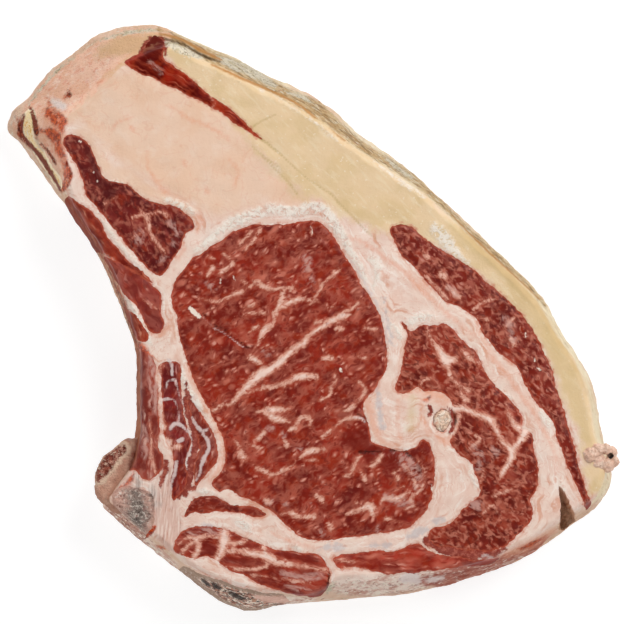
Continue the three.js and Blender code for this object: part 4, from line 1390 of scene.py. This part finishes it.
def hard_fat():
    """Hard beef fat: waxy, pink to cream, yellower in the cap, with a dry leathery rind outside."""
    material, tree, shader, spot, patch = finish_named("hard_beef_fat", 0.5, 0.05)
    ragged = wobble(tree, spot, 1.8, 0.8)
    thin = wobble(tree, spot, 1.5, 0.2)
    loose = wobble(tree, spot, 7, 2.4)
    upright = along_grain(tree, spot, 86, 7.0, 0.8)
    fray = drawn(tree, "fray", ragged, 0.8, -1.2, 0.9)
    torn = both(tree, fray, patch(2.0, 0.38, 0.54, rough=0.75, warp=0.8))
    on_wall = drawn(tree, "skin", wobble(tree, spot, 3, 0.7), 0.4, 9.0, 0.92)
    shades = fat_shades(tree, spot, patch, loose)
    colour = laid(tree, shades["seam_fat"], [
        (drawn(tree, "kernel", loose, 4.0, -4.0, 0.95), shades["kernel"]),
        (drawn(tree, "yellow", loose, 2.0, -3.0, 0.95), shades["cap"]),
        (drawn(tree, "ochre", wobble(tree, spot, 4, 1.2), 1.5, -3.0, 0.5), "d3b683"),
        (drawn(tree, "grey_fat", wobble(tree, spot, 3, 1.6), 0.8, -1.2, 0.6), "bfb6b8"),
        (both(tree, drawn(tree, "seam", ragged, 1.1, 0.0, 0.7), patch(3, 0.4, 0.6)), "cd7f68"),
        (drawn(tree, "silver", ragged, 0.5, -0.5, 0.8), "dccbc6"),
        (torn, "f2e8dc"),
        (both(tree, fray, patch(2.0, 0.58, 0.7, 0.5, warp=0.8)), "d2ab92"),
        (drawn(tree, "sinew", ragged, 1.6, -1.8, 0.8), laid(tree, "d6ae9e", [
            (patches(tree, upright, 1.2, 0.46, 0.62, 0.8), "ecd8cc"),
            (patches(tree, upright, 0.9, 0.56, 0.68, 0.7), "a8685a"),
        ])),
        (drawn(tree, "bone_dust", wobble(tree, spot, 4, 2.2), 3.0, -3.0, 0.85), laid(tree, "a3928a", [
            (patches(tree, upright, 1.0, 0.46, 0.6), "e4d8d0"),
        ])),
        # painted shade along the rounded shoulder of the cap fat
        (drawn(tree, "shade", wobble(tree, spot, 5, 0.5), 1.2, -1.8, 0.7), "c8a878"),
        (drawn(tree, "fold", thin, 0.6, -0.5, 0.6), "b4965a"),
        # on the side wall the cap fat takes its paler copy, painted light for the light that the wall
        # misses
        (on_wall, laid(tree, shades["wall"], [
            (drawn(tree, "yellow", loose, 5.0, 0.0), shades["cap_wall"]),
        ])),
        (drawn(tree, "rind", ragged, 1.2, -0.8, 0.95), shades["rind"]),
        (drawn(tree, "crust", ragged, 1.5, -1.5, 0.9), shades["crust"]),
        # the slanted end's colour, partly its own and partly painted light for its steep face
        (both(tree, drawn(tree, "slant", loose, 1.0, -2.0), drawn(tree, "skin", thin, 0.0, 0.8)),
         shades["slant"]),
        (drawn(tree, "bleed", ragged, 0.5, -0.3, 0.95), shades["film"]),
        (drawn(tree, "smear", loose, 2.0, -1.0, 0.92), shades["smear"]),
        (drawn(tree, "lump", ragged, 0.8, -1.0, 0.85), laid(tree, "f2e0da", [
            (patch(3, 0.5, 0.64, 0.5), "ddc6ba"),
        ])),
        (drawn(tree, "blush", ragged, 1.2, -1.6, 0.55), "e39a7a"),
        (drawn(tree, "flake", ragged, 0.6, -0.8, 0.9), laid(tree, "ddd3be", [
            (patch(4, 0.48, 0.62, 0.7), "bfb08c"),
            (threads(tree, spot, 3, 0.03, 0.9), "6e5a40"),
        ])),
        (drawn(tree, "stain", wobble(tree, spot, 3, 0.8), 0.8, -1.0, 0.85), shades["stained"]),
        (drawn(tree, "membrane", ragged, 1.0, -0.6, 0.85), laid(tree, "b4604a", [
            (patch(12, 0.42, 0.58, 0.7, rough=0.65), "8e4434"),
            (patch(3, 0.48, 0.62), "d0a486"),
            (patch(6, 0.48, 0.62, rough=0.7), "742e21"),
            (threads(tree, spot, 7, 0.03, 0.7), "d8b49a"),
        ])),
        (drawn(tree, "tip_dark", wobble(tree, spot, 1.8, 0.45), 0.6, -0.3, 0.95), shades["dark_tip"]),
        (drawn(tree, "peel", thin, 0.5, -0.4, 0.9), "bc8448"),
        # painted shade: the gap under the peel is painted dark brown for the shade under the flap
        (drawn(tree, "gap", thin, 0.5, -0.5, 0.9), "46321f"),
        (drawn(tree, "cleft", wobble(tree, spot, 2, 0.3), 0.6, 9.0, 0.9), laid(tree, "e6bc9c", [
            (patch(3, 0.46, 0.6), "c89474"),
        ])),
    ])
    tree.links.new(colour, shader.inputs["Base Color"])
    lobules = add(
        tree,
        "ShaderNodeTexVoronoi",
        {"Vector": spot, "Scale": per_mm(3.2), "Randomness": 1.0},
        feature="SMOOTH_F1",
    ).outputs["Distance"]
    crumbs = patch(1.0, 0.35, 0.65, rough=0.7)
    wall_crumbs = both(tree, on_wall, crumbs)
    raised(tree, shader, [(lobules, -0.15), (torn, 0.6), (wall_crumbs, 1.0), (crumbs, 0.15)], 0.3)
    rough = add(tree, "ShaderNodeMapRange", {"Value": on_wall, "To Min": 0.48, "To Max": 0.8})
    tree.links.new(rough.outputs[0], shader.inputs["Roughness"])
    return material


def sawn_bone(name, shell, cell, hole, cell_size, dried, grit, gap):
    """Sawn bone: a hard pale shell round open brown-red cells, with grey dust from the saw."""
    material, tree, shader, spot, patch = finish_named(name, 0.6, 0.08)
    ragged = wobble(tree, spot, 1.6, 0.4)
    bent = wandering(tree, spot, 2, 0.5)
    struts = cell_walls(tree, bent, cell_size, 0.24)
    spongy = laid(tree, hole, [
        (patch(4, 0.42, 0.6, 0.8), cell),
        (struts, cell),
        (patch(1.2, 0.56, 0.68, 0.8), "eadcd0"),
    ])
    dust = laid(tree, "7d7169", [
        (patches(tree, along_grain(tree, spot, 80, 5, 0.9), 1.0, 0.48, 0.62, 0.7), "554b45"),
        (patches(tree, bent, 1.5, 0.5, 0.6, 0.9, rough=0.7), "cdc0b4"),
        (patches(tree, bent, 1.1, 0.54, 0.64, 0.9, rough=0.7), "3c332e"),
        (patch(2.6, 0.56, 0.68, 0.6), "9a726a"),
    ])
    chunks = wandering(tree, spot, 1.5, 0.4)
    chunk, _ = random_cells(tree, chunks, 1.4, "3D")
    rubble = laid(tree, grit, [
        (add(tree, "ShaderNodeMapRange", {"Value": chunk, "From Min": 0.48, "From Max": 0.72}).outputs[0],
         "f4e2d0"),
        (add(tree, "ShaderNodeMapRange", {"Value": chunk, "From Min": 0.3, "From Max": 0.0}).outputs[0],
         "7c4434"),
        # painted shade: the gaps between the crust's crumbs, and dark spots among them, take the gap
        # colour
        (both(tree, cell_walls(tree, chunks, 1.4, 0.16, 0.9), patch(2, 0.42, 0.55)), gap),
        (patch(1.7, 0.57, 0.65), gap),
        (patch(2.2, 0.57, 0.66, 0.8), "c08a6c"),
    ])
    colour = laid(tree, shell, [
        (patch(6, 0.46, 0.64, 0.5), "b0907c"),
        (drawn(tree, "seam", ragged, 0.3, 1.4), spongy),
        (drawn(tree, "bone_dust", wobble(tree, spot, 4, 2.2), 3.0, -3.0, 0.92), dust),
        (drawn(tree, "skin", wobble(tree, spot, 3, 0.7), 1.0, 6.0, dried), laid(tree, "c9a48e", [
            (patch(5, 0.46, 0.62), "a07460"),
        ])),
        (drawn(tree, "crust", ragged, 0.8, -0.8, 0.95), rubble),
        (drawn(tree, "pad", ragged, 0.8, -0.8, 0.9), "e2b4a2"),
        (drawn(tree, "tip_dark", wobble(tree, spot, 1.8, 0.4), 0.4, -0.3, 0.95), "741a08"),
        # painted shade: the pits are painted near black for the shade inside them
        (drawn(tree, "pit", ragged, 0.8, -0.4, 0.9), "2a1f1a"),
    ])
    tree.links.new(colour, shader.inputs["Base Color"])
    raised(tree, shader, [(struts, 0.6), (patch(0.9, 0.35, 0.65), 0.5)], 0.25)
    return material


def rib_end_bone():
    """The broken rib: smooth tan bone with spongy marrow, red-brown with pale struts, in its end."""
    material, tree, shader, spot, patch = finish_named("rib_bone_with_marrow", 0.5, 0.1)
    ragged = wobble(tree, spot, 2.0, 0.8)
    at_end = drawn(tree, "end", wobble(tree, spot, 3, 0.5), 3.5, 1.5)
    struts = cell_walls(tree, wandering(tree, spot, 2, 0.5), 1.2, 0.26)
    marrow = laid(tree, "681c10", [
        (patch(2.0, 0.46, 0.6), "984a38"),
        (both(tree, struts, patch(2.5, 0.46, 0.62)), "c08c78"),
        (patch(1.1, 0.56, 0.66, 0.9), "dcc0a8"),
    ])
    colour = laid(tree, "be8c76", [
        (patch(7, 0.44, 0.62, 0.7), "cda48e"),
        (patch(2.5, 0.56, 0.68, 0.4), "a27460"),
        (both(tree, at_end, drawn(tree, "marrow", ragged, 2.4, 0.8, 0.8)), "dcbfa6"),
        (both(tree, at_end, drawn(tree, "marrow", ragged, 0.6, -0.6, 0.95)), marrow),
        (drawn(tree, "stain", ragged, 1.2, -1.0, 0.8), "8a3a2a"),
    ])
    tree.links.new(colour, shader.inputs["Base Color"])
    raised(tree, shader, [(both(tree, struts, at_end), 1.0), (patch(1.2, 0.4, 0.6), 0.25)], 0.2)
    return material


def torn_tendon():
    """Tendon torn across: dense, pale and crumbly, with shadowed gaps between its bundles."""
    material, tree, shader, spot, patch = finish_named("torn_tendon", 0.5, 0.2)
    colour = laid(tree, "e8c6ac", [
        (patch(2.0, 0.46, 0.6, 0.9), "f6e4d2"),
        (patch(3.0, 0.54, 0.64, 0.7), "d89a84"),
        (threads(tree, spot, 4, 0.05, 0.8), "a47a64"),
        (drawn(tree, "seam", wobble(tree, spot, 1.2, 0.4), 0.6, 0.0, 0.8), "8e4a38"),
    ])
    tree.links.new(colour, shader.inputs["Base Color"])
    raised(tree, shader, [(patch(1.4, 0.4, 0.62), 1.0)], 0.3)
    return material


def scrap_fat():
    """A loose scrap of fat: pink-cream, soft and lumpy."""
    material, tree, shader, spot, patch = finish_named("loose_fat_scrap", 0.5, 0.3)
    colour = laid(tree, "e2b9a2", [
        (patch(3, 0.46, 0.62, 0.8), "f0d2be"),
        (patch(2, 0.56, 0.68, 0.6), "d49a86"),
        (threads(tree, spot, 5, 0.04, 0.5), "b98a6e"),
        # painted shadow: the hole through the scrap is painted near black, as the shade seen through it
        (drawn(tree, "hole", wobble(tree, spot, 1, 0.1), 0.25, -0.1, 0.95), "241d1b"),
    ])
    tree.links.new(colour, shader.inputs["Base Color"])
    raised(tree, shader, [(patch(1.4, 0.4, 0.62), 1.0)], 0.3)
    return material


# The looks of the pieces, and the stage

# Each muscle's look: dark and bright meat, fleck and pale fat, the grain's angle, the length and
# width of a fleck, how much more of the meat the flecks fill, how strong the walls of its bundles
# are and, where they differ, the colour that it dries to at the side and its shine
LOOKS = {
    "eye_muscle": ("72190f", "922818", "ca745f", "dea695", 35, 3.4, 1.9, 0.05, 0.2),
    "cap_muscle": ("5a120c", "86281a", "be6650", "d08c78", -38, 3.4, 1.9, 0.0, 0.85),
    "outer_strip_muscle": ("58100c", "7e2418", "b06050", "ca8c7a", -50, 3.6, 1.8, -0.1, 0.85),
    "wedge_muscle": ("560a04", "961f0c", "aa4630", "be6a54", -33, 8.0, 0.9, -0.15, 0.0, "560a00", 0.04),
    "rib_muscle": ("501212", "701e1a", "923e34", "b66c58", -60, 4.0, 2.0, -0.15, 0.5),
    "rib_strip_muscle": ("74241e", "94382e", "b86658", "cc988a", -55, 7.0, 1.8, 0.0, 0.1, "8a3a24"),
    "edge_strip_upper": ("701a10", "943220", "b45e46", "d2967e", -50, 7.0, 1.8, 0.0, 0.1, "8a3a24"),
    "edge_strip_lower": ("701a10", "943220", "b45e46", "d2967e", -60, 6.0, 1.8, 0.0, 0.1, "8a3a24"),
    "side_muscle_outer": ("74261e", "984438", "c68676", "dfb6a8", 85, 5.0, 1.6, 0.15, 0.3, "a2603f"),
    "side_muscle_middle": ("641818", "842624", "b0645c", "cc968c", 80, 5.0, 1.6, 0.0, 0.2),
    "side_muscle_inner": ("742018", "983a2c", "bc7464", "d4a496", 70, 5.0, 1.6, 0.1, 0.2),
    "lower_strip_muscle": ("621610", "7e2418", "aa5646", "c89080", 5, 4.0, 1.9, -0.05, 0.4),
    "bottom_muscle_left": ("701a12", "98301f", "be6a58", "d8a090", -14, 8.0, 1.5, 0.0, 0.2),
    "bottom_muscle_right": ("861e12", "ac3828", "c66e5a", "dca090", 5, 7.0, 1.7, 0.05, 0.1),
}
MEAT_MARKS = ["vein", "speck", "scrape", "silver", "crack", "lean"]
FAT_MARKS = [
    "crust", "smear", "shade", "bone_dust", "kernel", "yellow", "ochre", "blush", "fray", "grey_fat",
    "silver", "fold", "rind", "flake", "peel", "gap", "stain", "tip_dark", "slant", "slant_tan",
    "lump", "sinew", "membrane", "bleed",
]
# Each sawn bone's relief and look: the finish's name, its shell, cells and holes, the size of a
# cell, how far its side is dried, and the grit of its crust and the painted shade in the gaps between its
# crumbs
SAWN_BONES = {
    "rib_tip": (bone_relief, (
        "sawn_rib_tip", "fae4c4", "f6dcac", "e6b46c", 1.6, 0.0, "b48c7c", "4c3a30",
    )),
    "spine_bone": (bone_relief, (
        "sawn_backbone", "ca9c8c", "d2a898", "8c5244", 1.5, 0.3, "cc9c8a", "9c6455",
    )),
    "chine_bone": (crust_relief, (
        "crusted_backbone", "a48874", "a48874", "94725e", 2.6, 0.1, "c8917c", "30221b",
    )),
}
BONE_MARKS = ["bone_dust", "pit", "tip_dark", "crust", "pad"]
# The lights: place and width in metres, and the share of the key light's power
LIGHTS = {
    "key_light": ((0.9, 0.9, 1.5), 1.2, 1.0),
    "fill_light": ((-1.1, 0.6, 1.4), 1.6, 0.36),
    "low_light": ((0.2, -1.3, 1.2), 1.6, 0.22),
}
FLOOR_RADIUS = 6.0
HORIZON_TOP = 0.7  # how high the even light reaches, 1 being overhead
SENSOR = 36.0  # width of the camera's sensor
PICTURE = 624  # squares of the sheet across the picture
FARTHEST_SEEN = 50.0  # in metres


# Settings


class SteakSizes(bpy.types.PropertyGroup):
    """How finely the surfaces are made."""

    face_step: bpy.props.FloatProperty(
        name="Face spacing",
        description="Distance between the points of a muscle's cut face",
        default=0.75 * MM,
        unit="LENGTH",
    )
    fat_step: bpy.props.FloatProperty(
        name="Fat spacing",
        description="Distance between the points of the fat's cut face",
        default=0.85 * MM,
        unit="LENGTH",
    )
    bone_step: bpy.props.FloatProperty(
        name="Bone spacing",
        description="Distance between the points of a sawn bone",
        default=0.5 * MM,
        unit="LENGTH",
    )
    wall_step: bpy.props.FloatProperty(
        name="Wall spacing",
        description="Distance between the points of the side wall",
        default=1.15 * MM,
        unit="LENGTH",
    )


class SteakStage(bpy.types.PropertyGroup):
    """The floor, the lights and the camera."""

    floor_colour: bpy.props.FloatVectorProperty(
        name="Floor colour",
        description="Colour of the plain floor",
        default=linear("959595")[:3],
        subtype="COLOR",
    )
    camera_height: bpy.props.FloatProperty(
        name="Camera height",
        description="Height of the camera above the cut face",
        default=2.0,
        unit="LENGTH",
    )
    key_power: bpy.props.FloatProperty(
        name="Key light",
        description="Power of the large soft light at the upper right",
        default=28.0,
        subtype="POWER",
    )
    sky: bpy.props.FloatProperty(
        name="Horizon",
        description="Strength of the even light from all round, which fades out overhead",
        default=0.9,
    )


# The pieces

WALL_TOOL = "steak_wall"


def wall_tool(step):
    """The side wall, made once and then shared by every piece that it cuts."""
    return bpy.data.objects.get(WALL_TOOL) or fine_wall(WALL_TOOL, step)


def block_round(name, ring, step, relief):
    """A fine block that reaches a little beyond the ring, which is its seam."""
    return fine_block(name, ring.min(0) - 1, ring.max(0) + 1, step, [ring], relief)


def through_piece(node, step, wall_step, relief, marks):
    """The part of the slab inside a piece's outline, with its fine faces and its marks."""
    ring = outline_of(OUTLINES[node])
    piece = block_round(f"fine_{node}", ring, step, relief)
    cut_plan(piece, "INTERSECT", ring)
    cut(piece, "INTERSECT", wall_tool(wall_step))
    tidy(piece, SLIVER)
    measure(piece, marks, [ring])
    return piece


class STEAK_OT_muscles(bpy.types.Operator):
    """Builds the muscles, each running through the slab"""

    bl_idname = "steak.muscles"
    bl_label = "Muscles"

    def execute(self, context):
        sizes = context.scene.steak_sizes
        steps = sizes.face_step / MM, sizes.wall_step / MM
        for node, look in LOOKS.items():
            piece = through_piece(node, *steps, meat_relief, MEAT_MARKS)
            dress(piece, node, raw_beef(f"raw_beef_{node}", *look))
        return {"FINISHED"}


class STEAK_OT_bones(bpy.types.Operator):
    """Builds the sawn bones that run through the slab"""

    bl_idname = "steak.bones"
    bl_label = "Sawn bones"

    def execute(self, context):
        sizes = context.scene.steak_sizes
        steps = sizes.bone_step / MM, sizes.wall_step / MM
        for node, (relief, look) in SAWN_BONES.items():
            piece = through_piece(node, *steps, relief, BONE_MARKS)
            dress(piece, node, sawn_bone(*look))
        return {"FINISHED"}


class STEAK_OT_tendon(bpy.types.Operator):
    """Builds the torn tendon beside the cap muscle"""

    bl_idname = "steak.tendon"
    bl_label = "Tendon"

    def execute(self, context):
        sizes = context.scene.steak_sizes
        steps = sizes.bone_step / MM, sizes.wall_step / MM
        piece = through_piece("tendon", *steps, crumb_relief, [])
        dress(piece, "tendon", torn_tendon())
        return {"FINISHED"}


def store_cleft(piece, notch):
    """Stores how far down in the cleft a point of the fat lies, in millimetres."""
    spots = spots_of(piece.data.vertices)
    plan = spots[:, :2]
    rise = spots[:, 2:] - NOTCH_FLOOR
    widening = NOTCH_TAPER + (1 - NOTCH_TAPER) * rise / (CLEAR - NOTCH_FLOOR)
    flat = (plan - notch.mean(0)) / widening + notch.mean(0)
    near = inside(flat, notch) | (reach_of(flat, notch, True, FAR) < CLEFT_MARGIN)
    depth = face_height(plan) - spots[:, 2]
    keep(piece.data, "cleft", np.where(near & (spots[:, 2] > NOTCH_FLOOR - 1), depth, 0))


class STEAK_OT_fat(bpy.types.Operator):
    """Builds the fat: what is left of the slab between all the other pieces"""

    bl_idname = "steak.fat"
    bl_label = "Fat"

    def execute(self, context):
        sizes = context.scene.steak_sizes
        wall = wall_tool(sizes.wall_step / MM)
        rings = [outline_of(rows) for rows in OUTLINES.values()]
        spots = spots_of(wall.data.vertices)[:, :2]
        low, high = spots.min(0) - 1, spots.max(0) + 1
        piece = fine_block("fine_fat", low, high, sizes.fat_step / MM, rings, fat_relief)
        cut(piece, "INTERSECT", wall)
        for ring in rings:
            cut_plan(piece, "DIFFERENCE", ring)
        notch = outline_of(NOTCH)
        middle = notch.mean(0)
        foot = (notch - middle) * NOTCH_TAPER + middle
        cut_plan(piece, "DIFFERENCE", foot, NOTCH_FLOOR, 1 / NOTCH_TAPER)
        tidy(piece, CRUMB)
        measure(piece, FAT_MARKS, rings)
        store_cleft(piece, notch)
        dress(piece, "fat", hard_fat())
        return {"FINISHED"}


class STEAK_OT_rib_bone(bpy.types.Operator):
    """Builds the sawn rib that stands beside the slab, fitted against its side wall"""

    bl_idname = "steak.rib_bone"
    bl_label = "Rib bone"

    def execute(self, context):
        sizes = context.scene.steak_sizes
        ring = outline_of(RIB_BONE)
        piece = block_round("fine_rib_bone", ring, sizes.bone_step / MM, rib_end_relief)
        cut_plan(piece, "INTERSECT", ring)
        cut(piece, "DIFFERENCE", wall_tool(sizes.wall_step / MM))
        tidy(piece, CRUMB)
        measure(piece, ["marrow", "stain"], [ring])
        z = spots_of(piece.data.vertices)[:, 2]
        keep(piece.data, "end", np.minimum(RIB_BONE_HEIGHT - z, z))
        dress(piece, "rib_bone", rib_end_bone())
        return {"FINISHED"}


class STEAK_OT_scrap(bpy.types.Operator):
    """Builds the loose scrap of fat at the cap's edge"""

    bl_idname = "steak.scrap"
    bl_label = "Fat scrap"

    def execute(self, context):
        bm = bmesh.new()
        first = place([SCRAP_LOBES[0][:2]])[0]
        for u, v, radius in SCRAP_LOBES:
            x, y = place([(u, v)])[0]
            z = SCRAP_HEIGHT - (x - first[0]) * SCRAP_DROOP
            flattened = Matrix.Diagonal((1, 1, SCRAP_FLATNESS, 1))
            shape = Matrix.Translation((x * MM, y * MM, z * MM)) @ flattened
            bmesh.ops.create_icosphere(bm, subdivisions=4, radius=radius * MM, matrix=shape)
        piece = object_of("fine_fat_scrap", bm)
        join = piece.modifiers.new("Join", "REMESH")
        join.mode = "VOXEL"
        join.voxel_size = SCRAP_GRAIN * MM
        soften = piece.modifiers.new("Soften", "SMOOTH")
        soften.iterations = SCRAP_SOFTENING
        settle(piece)
        hole = curve_through(place(SCRAP_HOLE), 0.5)
        cut_plan(piece, "DIFFERENCE", hole, SCRAP_HEIGHT - SCRAP_HOLE_DEPTH)
        spots = spots_of(piece.data.vertices)
        normals = np.array([corner.normal for corner in piece.data.vertices])
        spots += normals * (0.16 * ripples(spots, 2.6, 40) + 0.08 * ripples(spots, 1.3, 41))[:, None]
        piece.data.vertices.foreach_set("co", (spots * MM).ravel())
        tidy(piece, CRUMB)
        plan = spots_of(piece.data.vertices)[:, :2]
        side = np.where(inside(plan, hole), -1, 1)
        keep(piece.data, "hole", reach_of(plan, hole, True, FAR) * side)
        dress(piece, "fat_scrap", scrap_fat())
        return {"FINISHED"}


# The stage, the panel and the run


def area_light(name, spot, target, size, power):
    """A large soft light that looks at the target; all in metres."""
    lamp = bpy.data.lights.new(name, "AREA")
    lamp.shape = "DISK"
    lamp.size = size
    lamp.energy = power
    made = bpy.data.objects.new(name, lamp)
    bpy.context.scene.collection.objects.link(made)
    made.location = spot
    way = np.array(target) - np.array(spot)
    tilt = math.acos(-way[2] / np.linalg.norm(way))
    made.rotation_euler = (tilt, 0, math.atan2(way[1], way[0]) - math.pi / 2)


class STEAK_OT_stage(bpy.types.Operator):
    """Builds the floor, the lights and the camera straight above the steak"""

    bl_idname = "steak.stage"
    bl_label = "Stage"

    def execute(self, context):
        stage = context.scene.steak_stage
        bm = bmesh.new()
        bmesh.ops.create_circle(bm, cap_ends=True, segments=96, radius=FLOOR_RADIUS)
        floor = object_of("floor", bm)
        material, _, shader, *_ = finish_named("matt_white_paper", 0.9, 0.1)
        shader.inputs["Base Color"].default_value = (*stage.floor_colour, 1.0)
        shader.inputs["Emission Color"].default_value = (1.0, 1.0, 1.0, 1.0)
        shader.inputs["Emission Strength"].default_value = FLOOR_GLOW
        floor.data.materials.append(material)

        world = bpy.data.worlds.new("even_studio_light")
        context.scene.world = world
        world.use_nodes = True
        world.node_tree.nodes.clear()
        tree = world.node_tree
        way = add(tree, "ShaderNodeTexCoord").outputs["Generated"]
        height = add(tree, "ShaderNodeSeparateXYZ", {0: way}).outputs["Z"]
        falling = {"Value": height, "From Max": HORIZON_TOP, "To Min": stage.sky, "To Max": 0.0}
        strength = add(tree, "ShaderNodeMapRange", falling).outputs[0]
        sky = add(tree, "ShaderNodeBackground", {"Color": linear("ffffff"), "Strength": strength})
        add(tree, "ShaderNodeOutputWorld", {"Surface": sky.outputs[0]})
        middle = (0.0, 0.0, THICKNESS * MM)
        for name, (spot, width, share) in LIGHTS.items():
            area_light(name, spot, middle, width, stage.key_power * share)

        x, y = place([SIGHT])[0] * MM
        lens = bpy.data.cameras.new("camera")
        lens.sensor_width = SENSOR
        lens.lens = SENSOR * stage.camera_height / (PICTURE * SQUARE * MM)
        lens.clip_end = FARTHEST_SEEN
        camera = bpy.data.objects.new("camera", lens)
        context.scene.collection.objects.link(camera)
        camera.location = (x, y, THICKNESS * MM + stage.camera_height)
        context.scene.camera = camera
        context.scene.view_settings.view_transform = "Standard"
        return {"FINISHED"}


OPERATORS = [
    STEAK_OT_muscles, STEAK_OT_bones, STEAK_OT_tendon, STEAK_OT_fat, STEAK_OT_rib_bone,
    STEAK_OT_scrap, STEAK_OT_stage,
]


class STEAK_PT_panel(bpy.types.Panel):
    """Lists the pieces of the steak and their settings"""

    bl_label = "Rib steak"
    bl_idname = "STEAK_PT_panel"
    bl_space_type = "VIEW_3D"
    bl_region_type = "UI"
    bl_category = "Steak"

    def draw(self, context):
        for operator in OPERATORS:
            self.layout.operator(operator.bl_idname)
        for group in (context.scene.steak_sizes, context.scene.steak_stage):
            for name in group.__annotations__:
                self.layout.prop(group, name)


CLASSES = [SteakSizes, SteakStage, *OPERATORS, STEAK_PT_panel]


def register():
    """Registers the classes, and hangs the settings on the scene."""
    for cls in CLASSES:
        bpy.utils.register_class(cls)
    bpy.types.Scene.steak_sizes = bpy.props.PointerProperty(type=SteakSizes)
    bpy.types.Scene.steak_stage = bpy.props.PointerProperty(type=SteakStage)


def unregister():
    """Takes the settings and the classes away again."""
    del bpy.types.Scene.steak_sizes
    del bpy.types.Scene.steak_stage
    for cls in reversed(CLASSES):
        bpy.utils.unregister_class(cls)


def main():
    """Builds every piece and the stage."""
    register()
    bpy.ops.steak.muscles()
    bpy.ops.steak.bones()
    bpy.ops.steak.tendon()
    bpy.ops.steak.fat()
    bpy.ops.steak.rib_bone()
    bpy.ops.steak.scrap()
    bpy.ops.steak.stage()
    remove(bpy.data.objects[WALL_TOOL])


if __name__ == "__main__":
    main()
